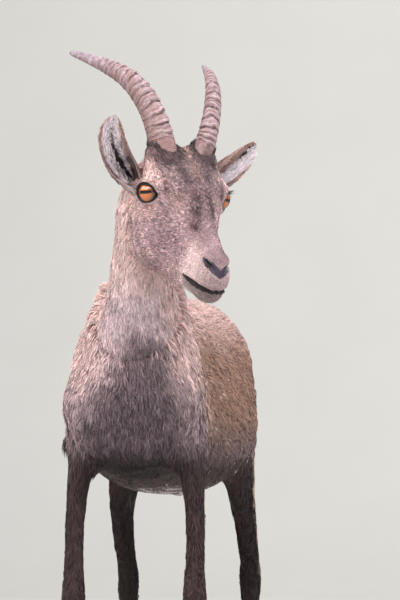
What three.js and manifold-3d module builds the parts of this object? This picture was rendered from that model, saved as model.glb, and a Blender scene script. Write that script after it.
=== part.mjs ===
// A life-size adult female alpine ibex, standing alert with its head turned to its left.
// Millimetres. +Z is up, -Y is where the body points and +X is the animal's own left.
import * as THREE from "three";
import { mergeVertices } from "three/addons/utils/BufferGeometryUtils.js";
import Module from "manifold-3d";

const wasm = await Module();
wasm.setup();

const rad = THREE.MathUtils.degToRad;
const vec = (x, y, z) => new THREE.Vector3(x, y, z);
const clamp = THREE.MathUtils.clamp;
const [X, Y, Z] = [vec(1, 0, 0), vec(0, 1, 0), vec(0, 0, 1)];

// Driving dimensions
const gap = 0.3; // between parts that touch
const withersHeight = 718;
const rumpHeight = 712;
const sternumHeight = 418;
const bellyHeight = 392;
const trunkHalfWidth = 138;
const frontOfChest = -322;
const backOfThighs = 372;

// Leg stations
const foreLegX = 90;
const hindLegX = 97;
const elbowHeight = 446;
const stifleHeight = 436;
const kneeHeight = 242;
const hockHeight = 262;
const fetlockHeight = 100;
const coronetHeight = 38;
const legRootTop = 560; // how far the legs reach up inside the trunk
// How far each foot stands ahead of (-) or behind (+) its square place
const stance = { fore_left: 8, fore_right: -16, hind_left: 14, hind_right: -18 };

// Head, about the point midway between the eyes
const headPlace = vec(103.1, -419.8, 820.6);
const headYaw = 29.6; // degrees to its left of where the body points
const headPitch = 30; // nose down
const headRoll = 5;
const eyeRadius = 18.5;
const eyePlace = vec(52.5, 17, 8);
const eyeOutward = 54; // degrees from straight ahead
const mouthPlace = vec(0, -97, -56);

// Horns: the two differ a little in length and in the degrees they splay
const hornPlace = vec(34, 69, 64);
const hornForm = { left: { length: 265, splay: 15.8 }, right: { length: 263, splay: 17 } };
const hornLean = [[0, 33], [0.5, 93], [1, 107]]; // degrees back from upright, along the horn
const hornRadius = [
  [0, 23.5], [0.12, 20.6], [0.3, 17.8], [0.5, 13.8], [0.7, 10.6], [0.85, 7.6], [0.95, 5.2], [1, 3.6],
];
const hornFlatness = 0.68; // across, against front to back
const hornTurn = 24; // degrees that its front is turned to the middle of the head
// Ridges: [place along the horn, height]
const hornRidges = [
  [0.045, 1], [0.1, 1.6], [0.155, 1.5], [0.215, 2], [0.275, 1.9], [0.33, 2.2], [0.37, 1.3], [0.43, 2.6],
  [0.475, 1.3], [0.535, 1.9], [0.59, 1.5], [0.635, 1.3], [0.675, 1], [0.78, 0.9],
];

// Ears: each bows from its root inside the head to its tip, and opens the way it faces
const earHalfWidth = 21.5;
const earPose = {
  left: { root: [28, 58, -4], pull: [98, 72, 43], tip: [149, 122, 51], facing: [0.42, -0.86, 0.24] },
  right: { root: [-30, 62, -26], pull: [-116, 84, 34], tip: [-102, 104, 80], facing: [-0.46, -0.8, 0.4] },
};

// How far neighbouring forms melt into each other
const melt = { trunk: 42, neck: 42, throat: 30, leg: 24, shoulder: 30, haunch: 36, skull: 24, face: 11 };

// Planes the body is divided at, and the way each one faces
const neckCut = { point: vec(0, -236, 650), facing: vec(0, -0.55, 0.835).normalize() };
const headCut = { place: vec(0, 72, -18), facing: vec(0, -0.93, 0.36).normalize() };

// A smooth curve through [position, value] stations, level beyond its ends
function profile(stations) {
  const slope = (i) => {
    const a = stations[Math.max(i - 1, 0)];
    const b = stations[Math.min(i + 1, stations.length - 1)];
    return (b[1] - a[1]) / (b[0] - a[0]);
  };
  return (s) => {
    const at = clamp(s, stations[0][0], stations.at(-1)[0]);
    let i = 0;
    while (i < stations.length - 2 && stations[i + 1][0] < at) i++;
    const span = stations[i + 1][0] - stations[i][0];
    const t = (at - stations[i][0]) / span;
    const rise = t * t * (3 - 2 * t);
    return (
      stations[i][1] * (1 - rise) +
      stations[i + 1][1] * rise +
      span * t * (1 - t) * (slope(i) * (1 - t) - slope(i + 1) * t)
    );
  };
}

// Solid fields: about the distance from a form's surface, below zero inside it
const blend = (reach, ...fields) => (p) =>
  fields.map((f) => f(p)).reduce((a, b) => {
    const h = Math.max(reach - Math.abs(a - b), 0) / reach;
    return Math.min(a, b) - (h * h * reach) / 4;
  });
const onBothSides = (field) => (p) => field(vec(Math.abs(p.x), p.y, p.z));

function lobe(centre, radii, tilt = 0) {
  const turn = new THREE.Quaternion().setFromAxisAngle(X, rad(-tilt));
  return (p) => {
    const q = p.clone().sub(centre).applyQuaternion(turn);
    const k0 = q.clone().divide(radii).length();
    const k1 = q.divide(radii).divide(radii).length();
    return k1 < 1e-9 ? -Math.min(radii.x, radii.y, radii.z) : (k0 * (k0 - 1)) / k1;
  };
}

function taper(from, to, fromRadius, toRadius) {
  const along = to.clone().sub(from);
  return (p) => {
    const q = p.clone().sub(from);
    const t = clamp(q.dot(along) / along.lengthSq(), 0, 1);
    return q.addScaledVector(along, -t).length() - (fromRadius + (toRadius - fromRadius) * t);
  };
}

// Distance to a section of half-width w and height h, measured along the ray from its middle
function section(u, v, w, h, roundness) {
  const q = (Math.abs(u / w) ** roundness + Math.abs(v / h) ** roundness) ** (1 / roundness);
  return Math.hypot(u, v) * (1 - 1 / Math.max(q, 1e-6));
}

// A form laid along Y, rounded off over the given lengths at its two ends
function barrel({ from, to, round, width, top, bottom, widest, upper, lower }) {
  return (p) => {
    const y = clamp(p.y, from + 0.5, to - 0.5);
    const near = Math.max(from + round[0] - y, 0) / round[0];
    const far = Math.max(y - to + round[1], 0) / round[1];
    const close = Math.sqrt(1 - Math.max(near, far) ** 2);
    const middle = bottom(y) + (top(y) - bottom(y)) * widest(y);
    const h = p.z > middle ? top(y) - middle : middle - bottom(y);
    const side = section(p.x, p.z - middle, width(y) * close, h * close, p.z > middle ? upper(y) : lower);
    return Math.max(side, from - p.y, p.y - to);
  };
}

// A form that stands along Z, from rows of [z, centre x, centre y, half-width, half-depth]
function column(rows) {
  const track = (k) => profile(rows.map((row) => [row[0], row[k]]));
  const [x, y, wide, deep] = [1, 2, 3, 4].map(track);
  const side = (p) => section(p.x - x(p.z), p.y - y(p.z), wide(p.z), deep(p.z), 2);
  const field = (p) => Math.max(side(p), rows[0][0] - p.z, p.z - rows.at(-1)[0]);
  return { field, centre: (z) => vec(x(z), y(z), z) };
}

// Trunk with its shoulders and haunches
const trunk = barrel({
  from: frontOfChest,
  to: backOfThighs,
  round: [46, 60],
  widest: () => 0.35,
  upper: () => 1.72,
  lower: 2.1,
  top: profile([
    [-320, 616], [-260, 680], [-190, withersHeight], [-110, 712], [0, 700],
    [120, 705], [210, rumpHeight], [280, 698], [330, 664], [372, 618],
  ]),
  bottom: profile([
    [-320, 500], [-270, 446], [-200, sternumHeight], [-80, 402], [60, bellyHeight],
    [150, 398], [220, 430], [290, 486], [372, 560],
  ]),
  width: profile([
    [-320, 66], [-270, 78], [-200, 90], [-100, 112], [0, 130], [80, trunkHalfWidth],
    [160, 129], [230, 110], [300, 88], [372, 62],
  ]),
});
const shoulder = onBothSides(
  blend(
    melt.shoulder,
    taper(vec(40, -188, 690), vec(62, -284, 540), 34, 36), // shoulder blade
    taper(vec(60, -284, 538), vec(74, -232, 470), 35, 28), // upper arm
    lobe(vec(52, -206, 566), vec(38, 60, 86), 12),
  ),
);
const haunch = onBothSides(
  blend(
    melt.haunch,
    taper(vec(56, 214, 596), vec(80, 172, 478), 56, 37), // front of the thigh
    taper(vec(50, 314, 606), vec(78, 280, 474), 44, 34), // back of the thigh
    lobe(vec(40, 236, 630), vec(52, 92, 62), -10), // croup
  ),
);
const torsoField = blend(
  melt.trunk,
  trunk,
  shoulder,
  haunch,
  lobe(vec(0, -286, 508), vec(70, 47, 74), 8), // brisket
  lobe(vec(0, -262, 596), vec(60, 58, 86), 24), // base of the neck
  lobe(vec(0, 206, 424), vec(40, 46, 34), 0), // udder
);

// Neck
const neck = column([
  [540, 0, -222, 74, 84], [580, 1, -232, 70, 86], [620, 3, -243, 62, 88], [660, 7, -255, 55, 86],
  [700, 12, -271, 51, 79], [740, 18, -290, 50, 69], [780, 26, -309, 50, 63], [820, 34, -330, 51, 59],
  [850, 42, -344, 49, 52], [875, 49, -348, 40, 40], [895, 53, -346, 26, 26], [908, 55, -344, 10, 10],
]);

// Head, in its own frame: straight ahead is -Y, its left +X, and the eyes' middle is the origin
const headTurn = new THREE.Quaternion()
  .setFromAxisAngle(Z, rad(headYaw))
  .multiply(new THREE.Quaternion().setFromAxisAngle(X, rad(headPitch)))
  .multiply(new THREE.Quaternion().setFromAxisAngle(Y, rad(headRoll)));
const headFrame = new THREE.Matrix4().compose(headPlace, headTurn, vec(1, 1, 1));
const toHead = headFrame.clone().invert();
const fromHead = (x, y, z) => vec(x, y, z).applyMatrix4(headFrame);
const headWay = (direction) => direction.clone().transformDirection(headFrame);

const face = barrel({
  from: -178,
  to: 108,
  round: [26, 40],
  widest: profile([[-178, 0.34], [-90, 0.36], [-20, 0.56], [108, 0.58]]),
  upper: profile([[-178, 1.7], [-80, 1.75], [-10, 2.3], [108, 2.3]]),
  lower: 2.1,
  top: profile([
    [-178, -8], [-155, 5], [-122, 15], [-80, 28], [-45, 41], [-10, 53], [25, 62], [55, 64],
    [85, 55], [108, 38],
  ]),
  bottom: profile([
    [-178, -56], [-158, -71], [-122, -83], [-90, -92], [-55, -103], [-15, -113], [20, -115],
    [50, -104], [82, -66], [108, -26],
  ]),
  width: profile([
    [-178, 16.5], [-155, 21], [-128, 24], [-95, 26.5], [-65, 30], [-35, 42], [-5, 53], [25, 58],
    [60, 56], [85, 48], [108, 37],
  ]),
});
const skull = blend(
  melt.skull,
  face,
  lobe(vec(41, 18, 26), vec(18, 30, 12), 14), // brow
  lobe(vec(33, 20, -58), vec(23, 52, 51), -14), // cheek
  lobe(vec(31, 66, 46), vec(25, 28, 24)), // horn boss
);
const headOnly = onBothSides(
  blend(
    melt.face,
    skull,
    lobe(eyePlace, vec(22.5, 22.5, 22.5)), // eyeball under its lids
    lobe(vec(7.5, -155, -32), vec(13.5, 21, 15.5)), // upper lip
    lobe(vec(12, -149, -13), vec(8.5, 14, 9.5)), // nostril wing
    lobe(vec(0, -146, -62), vec(19, 28, 15)), // chin
  ),
);
const headField = (p) => headOnly(p.clone().applyMatrix4(toHead));

// The upper body, that neck and head are cut from
const frontField = blend(melt.neck, torsoField, neck.field);
const upperBody = blend(melt.throat, frontField, headField);

// Legs: columns that run up into the trunk, whose feet are moved by the stance
const foreRows = [
  [coronetHeight, -2, -267, 18.5, 22], [46, -2, -264, 17.5, 20], [62, -2, -257, 14.5, 16],
  [84, -2, -249, 16, 18], [fetlockHeight, -2, -245, 16.5, 19], [124, -2, -244, 13.5, 15.5],
  [168, -1, -246, 12.5, 15], [212, 0, -248, 14.5, 17], [kneeHeight, 0, -250, 18, 20],
  [264, 0, -249, 17, 19.5], [294, 0, -247, 15.5, 19], [342, 0, -243, 16.5, 23], [390, -2, -239, 19, 30],
  [430, -6, -233, 23, 38], [480, -14, -226, 26, 46], [legRootTop, -30, -216, 24, 40],
];
const hindRows = [
  [coronetHeight, -3, 268, 18, 21], [46, -3, 271, 17, 19.5], [62, -3, 279, 14, 16],
  [82, -2, 289, 15.5, 18], [fetlockHeight, -2, 294, 16.5, 19.5], [122, -1, 296, 13.5, 16],
  [170, 0, 300, 12.5, 16], [220, 0, 305, 14.5, 19.5], [248, 0, 307, 17, 24],
  [270, 0, 306, 17, 27], [292, 1, 292, 16, 28], [320, 1, 268, 17.5, 33],
  [360, 0, 243, 20, 44], [400, -4, 228, 24, 62], [450, -12, 224, 31, 84], [legRootTop, -36, 238, 34, 76],
];
function legShape(name, legX, rows) {
  const side = name.endsWith("left") ? 1 : -1;
  const shifted = ([z, x, y, wide, deep]) => {
    return [z, side * (legX + x), y + stance[name] * (1 - z / legRootTop), wide, deep];
  };
  return column(rows.map(shifted));
}

// How far a field reaches from a point in one direction
function leave(field, origin, direction, farthest, level) {
  const at = (r) => field(origin.clone().addScaledVector(direction, r)) - level;
  const [caution, leastStep, halvings] = [0.7, 0.6, 18];
  let inside = 0;
  let r = 0;
  while (r < farthest) {
    const value = at(r);
    if (value > 0) break;
    inside = r;
    r += Math.max(-caution * value, leastStep);
  }
  let outside = Math.min(r, farthest);
  if (at(outside) < 0) return farthest;
  for (let i = 0; i < halvings; i++) {
    const middle = (inside + outside) / 2;
    if (at(middle) > 0) outside = middle;
    else inside = middle;
  }
  return outside;
}

// Closed lofts: rings of rays that follow the field outwards until it is left
function loft(field, rings, level = 0, farthest = 400) {
  const rows = rings.map(({ origin, directions }) =>
    directions.map((d) => origin.clone().addScaledVector(d, leave(field, origin, d, farthest, level))),
  );
  return skinOf(rows);
}

// A closed mesh over rows of points that turn the same way, ending in single points or flat fans
function skinOf(rows) {
  const points = [];
  const faces = [];
  const starts = [];
  const capped = rows.map((row) => row);
  const middleOf = (row) => row.reduce((sum, p) => sum.add(p), vec(0, 0, 0)).divideScalar(row.length);
  if (capped[0].length > 1) capped.unshift([middleOf(capped[0])]);
  if (capped.at(-1).length > 1) capped.push([middleOf(capped.at(-1))]);
  for (const row of capped) {
    starts.push(points.length);
    points.push(...row);
  }
  for (let i = 0; i + 1 < capped.length; i++) {
    const [a, b] = [capped[i], capped[i + 1]];
    const n = Math.max(a.length, b.length);
    for (let j = 0; j < n; j++) {
      const a0 = starts[i] + (j % a.length);
      const a1 = starts[i] + ((j + 1) % a.length);
      const b0 = starts[i + 1] + (j % b.length);
      const b1 = starts[i + 1] + ((j + 1) % b.length);
      if (a.length > 1) faces.push(a0, b0, a1);
      if (b.length > 1) faces.push(a1, b0, b1);
    }
  }
  const geometry = new THREE.BufferGeometry().setFromPoints(points);
  geometry.setIndex(faces);
  return solid(geometry);
}

function solid(geometry) {
  const bare = geometry.clone();
  bare.deleteAttribute("normal");
  bare.deleteAttribute("uv");
  const merged = mergeVertices(bare, 1e-4);
  let triVerts = new Uint32Array(merged.index.array);
  const vertProperties = new Float32Array(merged.attributes.position.array);
  const made = new wasm.Manifold(new wasm.Mesh({ numProp: 3, vertProperties, triVerts }));
  if (made.volume() > 0) return made;
  triVerts = triVerts.slice().reverse();
  return new wasm.Manifold(new wasm.Mesh({ numProp: 3, vertProperties, triVerts }));
}

// Ring layouts
const fan = (count, u, v) =>
  Array.from({ length: count }, (_, i) => {
    const angle = (2 * Math.PI * (i + 0.5)) / count;
    return u.clone().multiplyScalar(Math.sin(angle)).addScaledVector(v, Math.cos(angle));
  });
// One ring in the plane square to `axis`, with `across` turned into that plane
function ringAt(origin, axis, across, count) {
  const u = across.clone().addScaledVector(axis, -across.dot(axis)).normalize();
  return { origin, directions: fan(count, u, axis.clone().cross(u)) };
}
// Rings that swing from straight along `axis` to nearly square with it, about one origin
function roundEnd(origin, axis, u, v, count, steps) {
  const rings = [{ origin, directions: [axis] }];
  for (let i = 1; i < steps; i++) {
    const angle = (Math.PI / 2) * (i / steps);
    const directions = fan(count, u, v).map((d) =>
      d.multiplyScalar(Math.sin(angle)).addScaledVector(axis, Math.cos(angle)),
    );
    rings.push({ origin, directions });
  }
  return rings;
}
const span = (from, to, count) => {
  return Array.from({ length: count }, (_, i) => from + ((to - from) * i) / (count - 1));
};
// A curve from `from` to `to` that is drawn towards `pull`
const bow = (from, pull, to) => {
  const curve = new THREE.QuadraticBezierCurve3(from, pull, to);
  return (t) => curve.getPoint(t);
};
// Turns steadily from one way to another
function swing(from, to) {
  const whole = new THREE.Quaternion().setFromUnitVectors(from, to);
  return (t) => from.clone().applyQuaternion(new THREE.Quaternion().slerp(whole, t)).normalize();
}
const moved = (point, way, distance) => point.clone().addScaledVector(way, distance);

function largest(made) {
  const pieces = made.decompose();
  return pieces.reduce((a, b) => (b.volume() > a.volume() ? b : a));
}

const coat = new THREE.MeshStandardMaterial({ color: 0x8d7668, roughness: 0.95 });
const darkCoat = new THREE.MeshStandardMaterial({ color: 0x3d302c, roughness: 0.95 });
const hornSheath = new THREE.MeshStandardMaterial({ color: 0x7d6258, roughness: 0.7 });
const hoofHorn = new THREE.MeshStandardMaterial({ color: 0x2b2624, roughness: 0.6 });
const amberEye = new THREE.MeshStandardMaterial({ color: 0xb5701c, roughness: 0.15 });
const nodes = new Map();
const keep = (name, made, material) => nodes.set(name, { made: largest(made), material });

// Legs, each with the root it shares with the trunk
const legs = [];
for (const [side, sign] of [["left", 1], ["right", -1]]) {
  const fore = { name: "fore_" + side, upper: "forearm", cut: elbowHeight, joint: kneeHeight };
  const hind = { name: "hind_" + side, upper: "shank", cut: stifleHeight, joint: hockHeight };
  legs.push({ ...fore, sign, shape: legShape(fore.name, foreLegX, foreRows) });
  legs.push({ ...hind, sign, shape: legShape(hind.name, hindLegX, hindRows) });
}
// A length of a leg with level ends; next to the trunk it takes in a little of the trunk too
function legLength(shape, from, to, count, sides, level = 0) {
  const web = 13; // the most flesh between leg and trunk
  const melted = blend(melt.leg, shape.field, torsoField);
  const rooted = (p) => Math.max(melted(p), shape.field(p) - web);
  const rings = span(from, to, count).map((z) => ringAt(shape.centre(z), Z, X, sides));
  return loft(to > hockHeight ? rooted : shape.field, rings, level);
}

// Torso: rings that stand upright along the back and tip forward over the chest to the neck
function torsoLoft(level) {
  const count = 32;
  const [rump, loin] = [vec(0, 268, 552), vec(0, -60, 562)];
  const headUp = Y.clone().negate();
  const spine = bow(loin, vec(0, -190, 572), neckCut.point);
  const tip = swing(headUp, neckCut.facing);
  const rings = [
    ...roundEnd(rump, Y, X, Z, count, 6),
    ...span(0, 1, 11).map((t) => ringAt(rump.clone().lerp(loin, t), headUp, X, count)),
    ...span(0, 1, 17).slice(1).map((t) => ringAt(spine(t), tip(t), X, count)),
  ];
  const roots = legs.map(({ shape, cut }) => {
    return legLength(shape, cut - Math.max(level, 0), legRootTop - 1, 6, 16, level);
  });
  return roots.reduce((sum, root) => sum.add(root), loft(frontField, rings, level));
}
const bareTorso = torsoLoft(0);
const grownTorso = torsoLoft(gap);
keep("torso", bareTorso, coat);

// Neck
const headCutPoint = fromHead(...headCut.place);
const headCutWay = headWay(headCut.facing);
function neckLoft(level) {
  const base = moved(neckCut.point, neckCut.facing, gap);
  const spine = bow(base, vec(6, -302, 742), headCutPoint);
  const tip = swing(neckCut.facing, headCutWay);
  const across = swing(X, headWay(X));
  const rings = span(0, 1, 14).map((t) => ringAt(spine(t), tip(t), across(t), 28));
  return loft(upperBody, rings, level, 190);
}
keep("neck", neckLoft(0), coat);

// Head: a round muzzle end, upright rings along the face, and rings that tip back to the neck
function headLoft(level) {
  const count = 36;
  const ahead = headWay(Y).negate();
  const [muzzle, cheek] = [fromHead(0, -144, -36), fromHead(0, 0, -20)];
  const back = moved(headCutPoint, headCutWay, gap);
  const tip = swing(ahead, headCutWay);
  const spine = bow(cheek, fromHead(0, 42, -16), back);
  const along = span(0, 1, 22).map((t) => ringAt(muzzle.clone().lerp(cheek, t), ahead, headWay(X), count));
  const rings = [
    ...roundEnd(muzzle, ahead, headWay(X), headWay(Z), count, 6),
    ...along,
    ...span(0, 1, 8).slice(1).map((t) => ringAt(spine(t), tip(t), headWay(X), count)),
  ];
  return loft(upperBody, rings, level, 130);
}
const grownHead = headLoft(gap).add(neckLoft(gap));

// An eye's axes: outwards, forwards along the lids and up
function eyeAxes(side) {
  const dipOfLids = 14;
  const out = vec(side * Math.sin(rad(eyeOutward)), -Math.cos(rad(eyeOutward)), 0.05).normalize();
  const dip = new THREE.Quaternion().setFromAxisAngle(out, rad(-dipOfLids * side));
  const along = Z.clone().cross(out).multiplyScalar(-side).normalize().applyQuaternion(dip);
  return { out, along, up: Z.clone().applyQuaternion(dip) };
}
function eyeball(side, radius) {
  const ball = new THREE.SphereGeometry(radius, 16, 11);
  ball.translate(side * eyePlace.x, eyePlace.y, eyePlace.z);
  return solid(ball.applyMatrix4(headFrame));
}
// The almond gap between the lids, as a cone from the eye's centre
function lidGap(side) {
  const corners = 24;
  const [highHalf, wideHalf] = [40, 50]; // degrees the lids stand open
  const { out, along, up } = eyeAxes(side);
  const centre = vec(side * eyePlace.x, eyePlace.y, eyePlace.z);
  const rim = Array.from({ length: corners }, (_, i) => {
    const turn = (2 * Math.PI * i) / corners;
    const open = rad(highHalf + (wideHalf - highHalf) * Math.cos(turn) ** 2);
    const sideways = along.clone().multiplyScalar(Math.cos(turn)).addScaledVector(up, Math.sin(turn));
    const d = out.clone().multiplyScalar(Math.cos(open)).addScaledVector(sideways, Math.sin(open));
    return centre.clone().addScaledVector(d, 2 * eyeRadius).applyMatrix4(headFrame);
  });
  return skinOf([[centre.clone().applyMatrix4(headFrame)], rim]);
}
// A comma-shaped nostril that runs inwards, up and back: rows of [x, y, z, half-height]
function nostril(side) {
  const path = [
    [6, -184, -29, 1.6], [9.5, -174, -23, 3.4], [14.5, -163, -18, 5.2], [20, -150, -15, 5.2],
    [18, -140, -13, 2.6],
  ];
  const flatness = 0.8;
  const rows = path.map(([x, y, z, r]) =>
    fan(8, X, Z).map((d) => fromHead(side * x + d.x * r * flatness, y, z + d.z * r)),
  );
  return skinOf(rows);
}
// The line of the mouth, as a thin wedge that is widest at its opening
function mouthLine() {
  const openHalf = 2.1;
  const outer = { x: 42, y: 80, z: 11 };
  const inner = { x: 19, y: 43, z: 11 };
  const rows = span(-Math.PI / 2, Math.PI / 2, 15).map((a) => {
    const on = ({ x, y, z }, lift) => {
      const p = vec(x * Math.sin(a), -y * Math.cos(a), lift + z * Math.cos(a)).add(mouthPlace);
      return fromHead(...p);
    };
    return [on(inner, 0), on(outer, openHalf), on(outer, -openHalf)];
  });
  return skinOf(rows);
}
let head = headLoft(0);
for (const side of [1, -1]) {
  head = head.subtract(lidGap(side)).subtract(eyeball(side, eyeRadius + gap)).subtract(nostril(side));
}
keep("head", head.subtract(mouthLine()), coat);

// Horns: a curved sheath with ridges, each a step up from the base side that slopes off to the tip
function horn(name, side) {
  const { length, splay } = hornForm[name];
  const lean = profile(hornLean);
  const radius = profile(hornRadius);
  const [sunk, advance, sides, tipCap] = [22, 2, 12, 7];
  const way = (s) => {
    const [a, out] = [rad(lean(clamp(s, 0, 1))), rad(splay)];
    return vec(side * Math.sin(out), Math.cos(out) * Math.sin(a), Math.cos(out) * Math.cos(a));
  };
  const stations = [{ s: -sunk / length, height: 0 }];
  const [foot, crest] = [0.009, 0.003]; // where a ridge starts and is highest, about its place
  for (const [place, height] of hornRidges) {
    stations.push({ s: place - foot, height: 0 }, { s: place + crest, height });
  }
  for (const s of [0.84, 0.89, 0.94, 0.98]) stations.push({ s, height: 0 });
  const centre = hornPlace.clone().setX(side * hornPlace.x).addScaledVector(way(0), -sunk);
  let travelled = -sunk;
  const rows = stations.map(({ s, height }) => {
    while (travelled < s * length) {
      const step = Math.min(advance, s * length - travelled);
      centre.addScaledVector(way(travelled / length), step);
      travelled += step;
    }
    const d = way(s);
    const level = X.clone().addScaledVector(d, -d.x).normalize();
    const front = level.clone().cross(d).addScaledVector(level, -side * Math.tan(rad(hornTurn))).normalize();
    const across = d.clone().cross(front);
    return Array.from({ length: sides }, (_, i) => {
      const turn = (2 * Math.PI * i) / sides;
      const inFront = 0.35 + 0.65 * clamp(0.5 + Math.cos(turn), 0, 1);
      const r = radius(clamp(s, 0, 1)) + height * inFront;
      return moved(centre, front, r * Math.cos(turn))
        .addScaledVector(across, r * Math.sin(turn) * hornFlatness)
        .applyMatrix4(headFrame);
    });
  });
  rows.push([moved(centre, way(1), tipCap).applyMatrix4(headFrame)]);
  return skinOf(rows);
}

// Ears: a cupped leaf, nearly closed to a tube at its root
function ear(side) {
  const pose = earPose[side];
  const line = new THREE.QuadraticBezierCurve3(vec(...pose.root), vec(...pose.pull), vec(...pose.tip));
  const halfWidth = profile([
    [0, 0.46], [0.1, 0.6], [0.25, 0.88], [0.45, 1], [0.7, 0.88], [0.9, 0.52], [1, 0.16],
  ]);
  const halfCup = profile([[0, 138], [0.3, 112], [0.5, 84], [0.8, 62], [1, 50]]);
  const wall = profile([[0, 11.4], [0.2, 6], [0.35, 3], [1, 1.5]]); // closed at the root
  const [setBack, arcs, tipCap] = [14, 8, 2];
  const rows = span(0, 1, 13).map((t) => {
    const along = line.getTangent(t);
    const facing = vec(...pose.facing);
    const open = moved(facing, along, -facing.dot(along)).normalize();
    const across = along.clone().cross(open).normalize();
    const half = rad(halfCup(t));
    const r = (halfWidth(t) * earHalfWidth) / Math.sin(Math.min(half, Math.PI / 2));
    const middle = moved(line.getPoint(t), open, r - setBack);
    const at = (angle, reach) =>
      moved(middle, open, -Math.cos(angle) * reach)
        .addScaledVector(across, Math.sin(angle) * reach)
        .applyMatrix4(headFrame);
    const outer = span(-half, half, arcs + 1).map((angle) => at(angle, r));
    const inner = span(half, -half, arcs + 1).map((angle) => at(angle, r - wall(t)));
    return [...outer, ...inner];
  });
  const last = rows.at(-1);
  rows.push([moved(last[arcs / 2], headWay(line.getTangent(1)), tipCap)]);
  return skinOf(rows);
}
for (const [name, side] of [["left", 1], ["right", -1]]) {
  keep("eye_" + name, eyeball(side, eyeRadius), amberEye);
  keep("horn_" + name, horn(name, side).subtract(grownHead), hornSheath);
  keep("ear_" + name, ear(name).subtract(grownHead), coat);
}

// Tail, hanging close against the rump
const tail = column([
  [545, 0, 379, 9, 5], [562, 0, 381, 16, 9], [590, 0, 381, 20, 12], [620, 0, 373, 21, 16],
  [648, 0, 359, 20, 18], [668, 0, 344, 18, 18],
]);
const tailRings = span(546, 666, 9).map((z) => ringAt(tail.centre(z), Z, X, 14));
keep("tail", loft(tail.field, tailRings, 0, 60).subtract(grownTorso), darkCoat);

// One claw of a hoof: a pointed sole, leaning wall and level top
function claw(side, x, y) {
  const levels = [
    { z: 0, wide: 17.5, toe: 40, heel: 24, shift: 0 },
    { z: 3, wide: 18, toe: 39.5, heel: 24.5, shift: 0 },
    { z: 22, wide: 16.6, toe: 30, heel: 24, shift: 2 },
    { z: coronetHeight - gap, wide: 15, toe: 20.5, heel: 20, shift: 4 },
  ];
  const [cleft, corners] = [0.7, 12];
  const rows = levels.map(({ z, wide, toe, heel, shift }) =>
    Array.from({ length: corners }, (_, i) => {
      const turn = (2 * Math.PI * i) / corners;
      const ahead = Math.cos(turn);
      const fullness = 0.91 - 0.09 * Math.cos(turn + 0.4);
      const across = cleft + (wide / 2) * (1 + Math.sin(turn) * fullness);
      return vec(x + side * across, y + shift - (ahead > 0 ? toe : heel) * ahead, z);
    }),
  );
  return skinOf(rows);
}
function dewclaw(x, y, z) {
  const rows = [
    { back: -4, drop: 0, wide: 6.5, high: 7 },
    { back: 5, drop: 4, wide: 5.8, high: 6 },
    { back: 12, drop: 9, wide: 3.9, high: 3.6 },
  ];
  return skinOf(
    rows.map(({ back, drop, wide, high }) =>
      fan(8, X, Z).map((d) => vec(x + d.x * wide, y + back, z - drop + d.z * high)),
    ),
  );
}

// A leg in three lengths, with two claws and two dewclaws
for (const { name, upper, cut, joint, shape, sign } of legs) {
  const half = gap / 2;
  const thick = legLength(shape, joint + half, cut - gap, 11, 16);
  keep(`${name}_${upper}`, thick.subtract(grownTorso), coat);
  keep(`${name}_cannon`, legLength(shape, fetlockHeight + half, joint - half, 9, 14), darkCoat);
  const pastern = (level) => legLength(shape, coronetHeight + 0.01, fetlockHeight - half, 6, 14, level);
  keep(`${name}_pastern`, pastern(0), darkCoat);
  const foot = shape.centre(coronetHeight);
  const heel = shape.centre(fetlockHeight - 12).add(vec(0, 15, -4));
  const apart = 9;
  for (const [which, out] of [["inner", -sign], ["outer", sign]]) {
    keep(`${name}_hoof_${which}`, claw(out, foot.x, foot.y), hoofHorn);
    const dew = dewclaw(heel.x + out * apart, heel.y, heel.z);
    keep(`${name}_dewclaw_${which}`, dew.subtract(pastern(gap)), hoofHorn);
  }
}

// The whole animal, set with the origin on the floor under the middle of its box
function meshOf(name, { made, material }) {
  const { vertProperties, triVerts, numProp } = made.getMesh();
  const positions = new Float32Array((vertProperties.length / numProp) * 3);
  for (let i = 0; i < positions.length / 3; i++) {
    positions.set(vertProperties.subarray(i * numProp, i * numProp + 3), i * 3);
  }
  const geometry = new THREE.BufferGeometry();
  geometry.setAttribute("position", new THREE.BufferAttribute(positions, 3));
  geometry.setIndex(new THREE.BufferAttribute(new Uint32Array(triVerts), 1));
  geometry.computeVertexNormals();
  const mesh = new THREE.Mesh(geometry, material);
  mesh.name = name;
  return mesh;
}
const ibex = new THREE.Group();
for (const [name, node] of nodes) ibex.add(meshOf(name, node));
const box = new THREE.Box3().setFromObject(ibex);
const middle = box.getCenter(vec(0, 0, 0));
ibex.position.set(-middle.x, -middle.y, -box.min.z);

export default ibex;
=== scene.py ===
# A life-size alpine ibex, an adult female, standing alert with its head turned to its left.
import math

import bmesh
import bpy
import numpy as np
import openvdb
from mathutils import Matrix, Vector
from mathutils.kdtree import KDTree


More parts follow.
